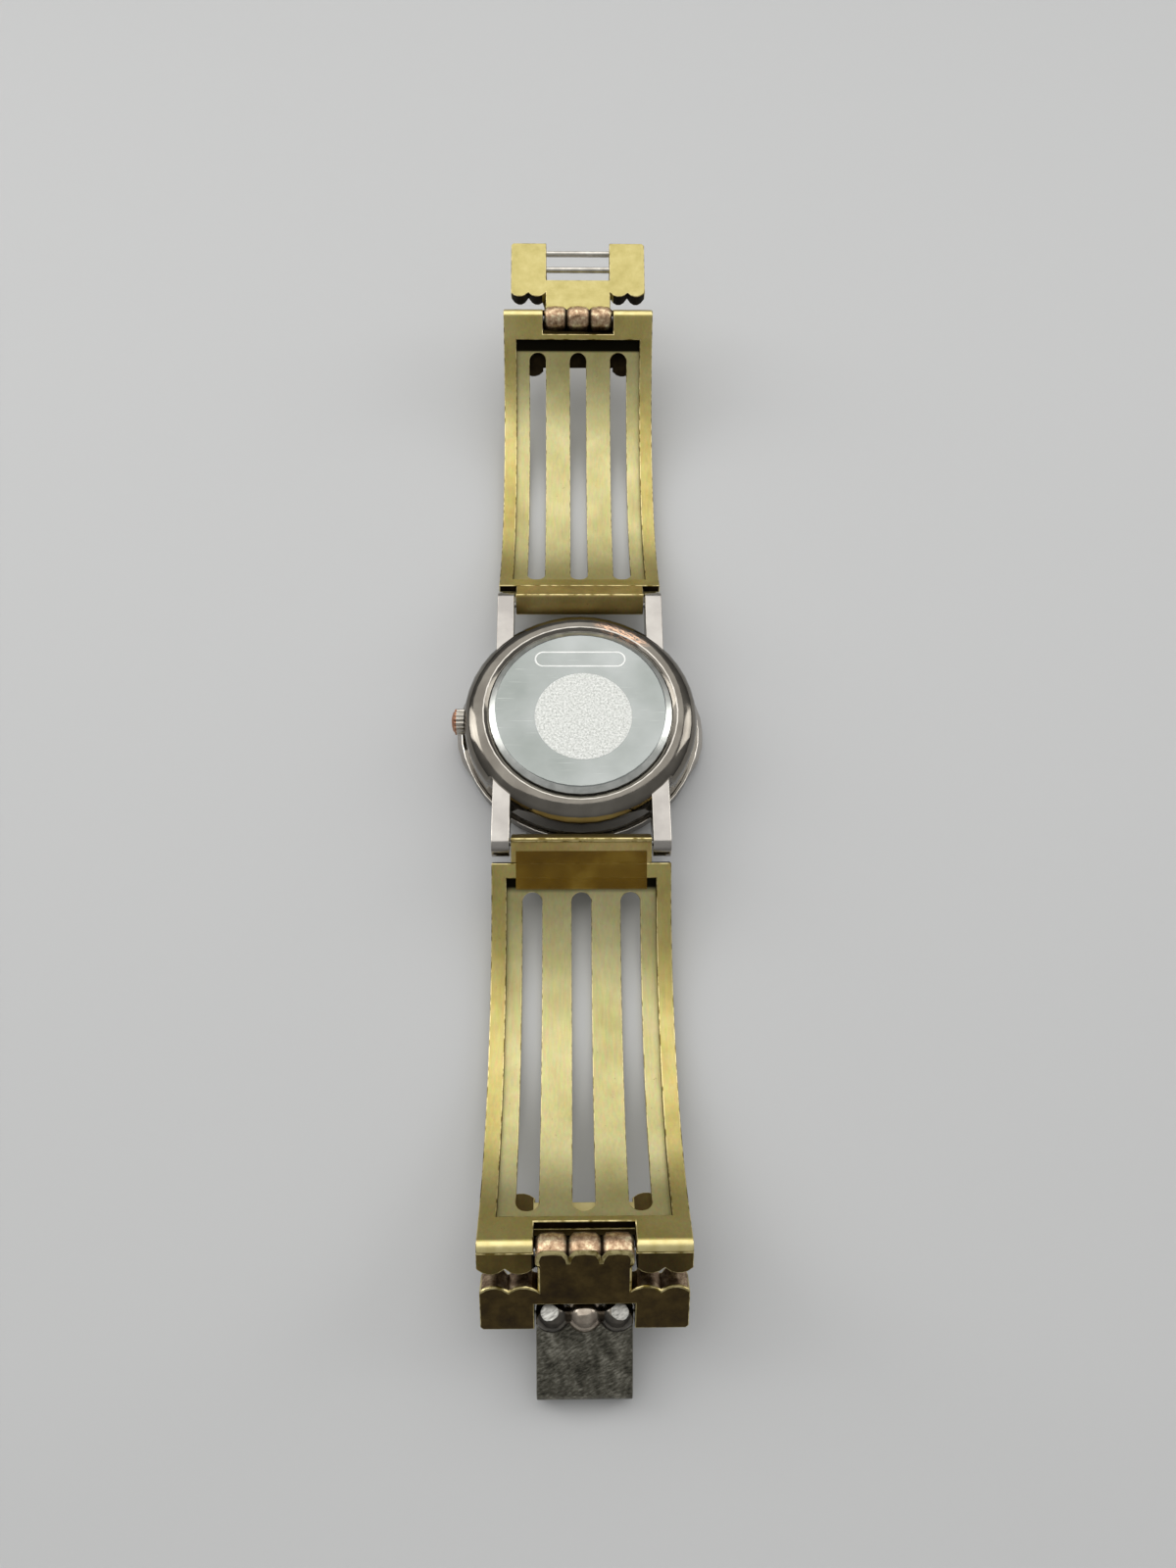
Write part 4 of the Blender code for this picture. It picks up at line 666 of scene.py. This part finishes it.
def pick_faces(item, finish, chosen):
    """Gives the chosen faces of a piece a further finish."""
    further = add_finish(item, finish)
    for face in item.data.polygons:
        if chosen(face.center):
            face.material_index = further


def worn_edges(item):
    """Marks the outward edges, which wear bright, and leaves the inward corners dark; on the hook link, the full-width
    bright edges beside the knuckles and arm ends are wear and a painted highlight.
    """
    mesh = bmesh.new()
    mesh.from_mesh(item.data)
    mark = mesh.edges.layers.float.new("bevel_weight_edge")
    on_hook_link = finishes["arm"] in list(item.data.materials)
    for edge in mesh.edges:
        rounded = all(item.data.materials[face.material_index] in ROUNDED for face in edge.link_faces)
        if len(edge.link_faces) == 2 and edge.calc_face_angle_signed(0.0) > EDGE_ANGLE and not rounded:
            # On the hook link, a full-width bright edge beside the knuckles and arm ends is wear and a painted
            # highlight.
            rubbed = any(item.data.materials[face.material_index] in RUBBED_AND_HIGHLIT for face in edge.link_faces)
            edge[mark] = 1.0 if rubbed or not on_hook_link else FINE_EDGE
    mesh.to_mesh(item.data)
    mesh.free()


def cut_across(item, *places):
    """Cuts the faces of a piece along planes across its width, and takes nothing away."""
    mesh = bmesh.new()
    mesh.from_mesh(item.data)
    for place in places:
        parts = mesh.verts[:] + mesh.edges[:] + mesh.faces[:]
        bmesh.ops.bisect_plane(mesh, geom=parts, plane_co=(place, 0.0, 0.0), plane_no=(1.0, 0.0, 0.0))
    mesh.to_mesh(item.data)
    mesh.free()


def worn_crown(item):
    """Copper showing on the outer end of the crown, up to a line round its teeth."""
    cut_across(item, CAP_X)
    pick_faces(item, "cap", lambda at: at.x < CAP_X)


def taper_shoulders(item):
    """Pale silver, a painted highlight, on the bezel's two side shoulders, with their ends drawn in to the ring."""
    pick_faces(item, "lug", lambda at: math.hypot(at.x, at.y) > WING_R)
    for corner in item.data.vertices:
        reach = math.hypot(corner.co.x, corner.co.y)
        if reach > WING_ROOT:
            away = WING_ANGLE - math.atan2(abs(corner.co.y), abs(corner.co.x))
            share = min(1.0, max(0.0, away / WING_TAPER))
            target = WING_ROOT + (reach - WING_ROOT) * share * (2.0 - share)
            corner.co.x *= target / reach
            corner.co.y *= target / reach
    alone(item)
    bpy.ops.object.mode_set(mode="EDIT")
    bpy.ops.mesh.select_all(action="SELECT")
    bpy.ops.mesh.remove_doubles(threshold=SHORT_EDGE)
    bpy.ops.mesh.dissolve_degenerate(threshold=SHORT_EDGE / 2)
    bpy.ops.mesh.normals_make_consistent(inside=False)
    bpy.ops.object.mode_set(mode="OBJECT")


def gilt_marks(item):
    """Gilt on the hour marks, which stand proud of the dial."""
    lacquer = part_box("dial")[1].z - DIAL_SHEET
    pick_faces(item, "gilt", lambda at: at.z < lacquer)


def bright_middle(item):
    """The near end block: painted shade on its walls, and a painted highlight on the upward faces of its middle."""
    cut_across(item, -NOTCH_HALF, NOTCH_HALF)
    painted_light = paint_wall_shade_and_lip_highlight(item, -1)
    for face in item.data.polygons:
        if abs(face.center.x) < NOTCH_HALF and face.center.y > -NOTCH_Y and face.normal.z > MIDDLE_RISE:
            face.material_index = painted_light


# The CAD pieces that get further finishes or shaping, and how
SHAPED = {
    "hook": file_hook,
    # The catch link's arm ends, turned from the light, get painted shade.
    "catch_link": lambda item: bare_knuckle(item, "catch_link_hinge", "painted_shade", -1),
    "hook_link": lambda item: bare_knuckle(item, "hook_link_hinge", "arm", 1),
    "mid_case": lambda item: pick_faces(item, "lug", lambda at: abs(at.x) > LUG_X and abs(at.y) > LUG_Y),
    "bezel": taper_shoulders,
    "case_back": lambda item: pick_faces(item, "back_edge", lambda at: math.hypot(at.x, at.y) > RIM_R),
    "crown": worn_crown,
    "dial": gilt_marks,
    "upper_frame": lambda item: paint_wall_shade_and_lip_highlight(item, 1),
    "lower_frame": lambda item: paint_wall_shade_and_lip_highlight(item, -1),
    "upper_end_block": lambda item: paint_wall_shade_and_lip_highlight(item, 1),
    "lower_end_block": bright_middle,
}


def dress(node):
    """A CAD piece with its own shaping, broken and worn edges, and its finish."""
    finish, edge, width = DRESS[node]
    item = welded_copy(node)
    item.data.materials.clear()
    add_finish(item, finish)
    worn = add_finish(item, edge)
    if node in SHAPED:
        SHAPED[node](item)
    worn_edges(item)
    apply(item, "BEVEL", width=width * MM, segments=EDGE_SEGMENTS, limit_method="WEIGHT", material=worn,
          use_clamp_overlap=node in FINE_WORK)
    close_slivers(item)
    settle(item, body_of[node], node)


for node in DRESS:
    dress(node)
for finish, nodes in PLAIN.items():
    for node in nodes:
        metal = frame["nodes"][node].data.materials
        metal.clear()
        metal.append(finishes[finish])


def frosted_disc():
    """The etched disc in the middle of the case back, with a thin rim."""
    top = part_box("case_back")[1].z
    bpy.ops.object.select_all(action="DESELECT")
    bpy.ops.mesh.primitive_circle_add(vertices=ROUND_STEPS, radius=FROST_R, fill_type="NGON",
                                      location=(*FROST_PLACE, top - FROST_T / 2))
    disc = bpy.context.object
    disc.name = "frosted_disc"
    bpy.ops.object.mode_set(mode="EDIT")
    bpy.ops.mesh.select_all(action="SELECT")
    bpy.ops.mesh.extrude_region_move(TRANSFORM_OT_translate={"value": (0.0, 0.0, FROST_T)})
    bpy.ops.mesh.inset(thickness=FROST_RIM, depth=-FROST_SINK)
    bpy.ops.mesh.select_all(action="SELECT")
    bpy.ops.mesh.normals_make_consistent(inside=False)
    bpy.ops.object.mode_set(mode="OBJECT")
    bpy.ops.object.transform_apply(location=True, rotation=True, scale=True)
    disc.data.materials.append(finishes["frost"])
    settle(disc, "head")


def plaque_outline():
    """The etched capsule line above the disc, left empty."""
    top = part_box("case_back")[1].z
    bpy.ops.object.select_all(action="DESELECT")
    bpy.ops.mesh.primitive_circle_add(vertices=2 * PLAQUE_STEPS, radius=PLAQUE_R, fill_type="NGON",
                                      location=(0.0, PLAQUE_Y, top - PLAQUE_T / 2))
    line = bpy.context.object
    line.name = "plaque_outline"
    for corner in line.data.vertices:
        corner.co.x += math.copysign(PLAQUE_HALF_L - PLAQUE_R, corner.co.x)
    bpy.ops.object.mode_set(mode="EDIT")
    bpy.ops.mesh.select_all(action="SELECT")
    bpy.ops.mesh.inset(thickness=PLAQUE_LINE)
    bpy.ops.mesh.delete(type="FACE")
    bpy.ops.mesh.select_all(action="SELECT")
    bpy.ops.mesh.extrude_region_move(TRANSFORM_OT_translate={"value": (0.0, 0.0, PLAQUE_T)})
    bpy.ops.mesh.select_all(action="SELECT")
    bpy.ops.mesh.normals_make_consistent(inside=False)
    bpy.ops.object.mode_set(mode="OBJECT")
    bpy.ops.object.transform_apply(location=True, rotation=True, scale=True)
    line.data.materials.append(finishes["etch"])
    settle(line, "head")


def bare_film():
    """A strip of amber film laid along the lower panel from the lug bar over the window's edge, one corner lifting."""
    bpy.ops.object.select_all(action="DESELECT")
    bpy.ops.mesh.primitive_grid_add(x_subdivisions=FILM_ACROSS, y_subdivisions=FILM_ALONG, size=1.0)
    film = bpy.context.object
    film.name = "bare_film"
    for corner in film.data.vertices:
        across, along = corner.co.x, corner.co.y + 0.5
        reach = FILM_START + along * (FILM_END - FILM_START)
        turn = CURVE_START + max(reach, 0.0) / CURVE_R
        wave = math.sin(RIPPLE_ACROSS * across + RIPPLE_SLANT * along) * math.sin(RIPPLE_ALONG * along)
        ripple = wave * RIPPLE_HEIGHT
        corner_lift = FILM_CURL * max(0.0, across - CURL_FROM[0]) * max(0.0, CURL_FROM[1] - along) * CURL_GAIN
        high = CURVE_R - FILM_LIFT - ripple - corner_lift
        flat = min(reach, 0.0)
        corner.co.x = across * FILM_W
        corner.co.y = CURVE_CENTRE[0] - high * math.sin(turn) - flat * math.cos(turn)
        corner.co.z = CURVE_CENTRE[1] - high * math.cos(turn) + flat * math.sin(turn)
    apply(film, "SOLIDIFY", thickness=FILM_T, offset=0.0)
    film.data.materials.append(finishes["film"])
    settle(film, body_of["lower_frame"])


frosted_disc()
plaque_outline()
bare_film()


def studio():
    """The floor, the room, the lamps and the camera."""
    scene = bpy.context.scene
    bpy.ops.object.select_all(action="DESELECT")
    bpy.ops.mesh.primitive_plane_add(size=FLOOR_SIZE, location=(0.0, 0.0, -FLOOR_DROP))
    floor = bpy.context.object
    floor.name = "studio_floor"
    paper, _, shader, _ = start("pale_paper", FLOOR_ROUGH, 0.0)
    shader.inputs["Base Color"].default_value = linear(FLOOR_COLOUR)
    shader.inputs["Specular IOR Level"].default_value = FLOOR_SHEEN
    floor.data.materials.append(paper)

    room = bpy.data.worlds.new("pale_room")
    room.use_nodes = True
    scene.world = room
    back = room.node_tree.nodes["Background"]
    back.inputs["Color"].default_value = linear(ROOM_COLOUR)
    sky = add(room.node_tree, "TexCoord").outputs["Generated"]
    height = add(room.node_tree, "SeparateXYZ", {"Vector": sky}).outputs["Z"]
    level = add(room.node_tree, "MapRange", {"Value": height, "From Min": 0.0, "From Max": ROOM_RISE,
                                             "To Min": ROOM_LOW, "To Max": ROOM_HIGH})
    room.node_tree.links.new(level.outputs["Result"], back.inputs["Strength"])

    lamps = [("soft_box", SOFT_BOX_PLACE, SOFT_BOX_SIZE, SOFT_BOX_WATTS, SOFT_BOX_SPREAD)]
    lamps += [("strip_%d" % k, at, STRIP_SIZE, STRIP_WATTS[k], STRIP_SPREAD) for k, at in enumerate(STRIP_PLACES)]
    for name, at, size, watts, spread in lamps:
        lamp = bpy.data.lights.new(name, "AREA")
        lamp.shape = "RECTANGLE"
        lamp.size, lamp.size_y = size
        lamp.energy = watts
        lamp.spread = spread
        holder = bpy.data.objects.new(name, lamp)
        scene.collection.objects.link(holder)
        holder.location = at
        holder.rotation_euler = (-Vector(at)).to_track_quat("-Z", "Y").to_euler()

    lens = bpy.data.cameras.new("camera")
    lens.sensor_width = SENSOR_MM
    lens.lens = lens.sensor_width * FOCAL_PIXELS / PHOTO_LONG_SIDE
    lens.clip_start = NEAR_CLIP
    camera = bpy.data.objects.new("camera", lens)
    scene.collection.objects.link(camera)
    aim = Matrix.Rotation(CAMERA_YAW, 4, "Z") @ Matrix.Rotation(CAMERA_TILT, 4, "X")
    camera.matrix_world = Matrix.Translation(CAMERA_PLACE) @ aim @ Matrix.Rotation(CAMERA_ROLL, 4, "Z")
    scene.camera = camera
    scene.view_settings.view_transform = "Standard"


studio()
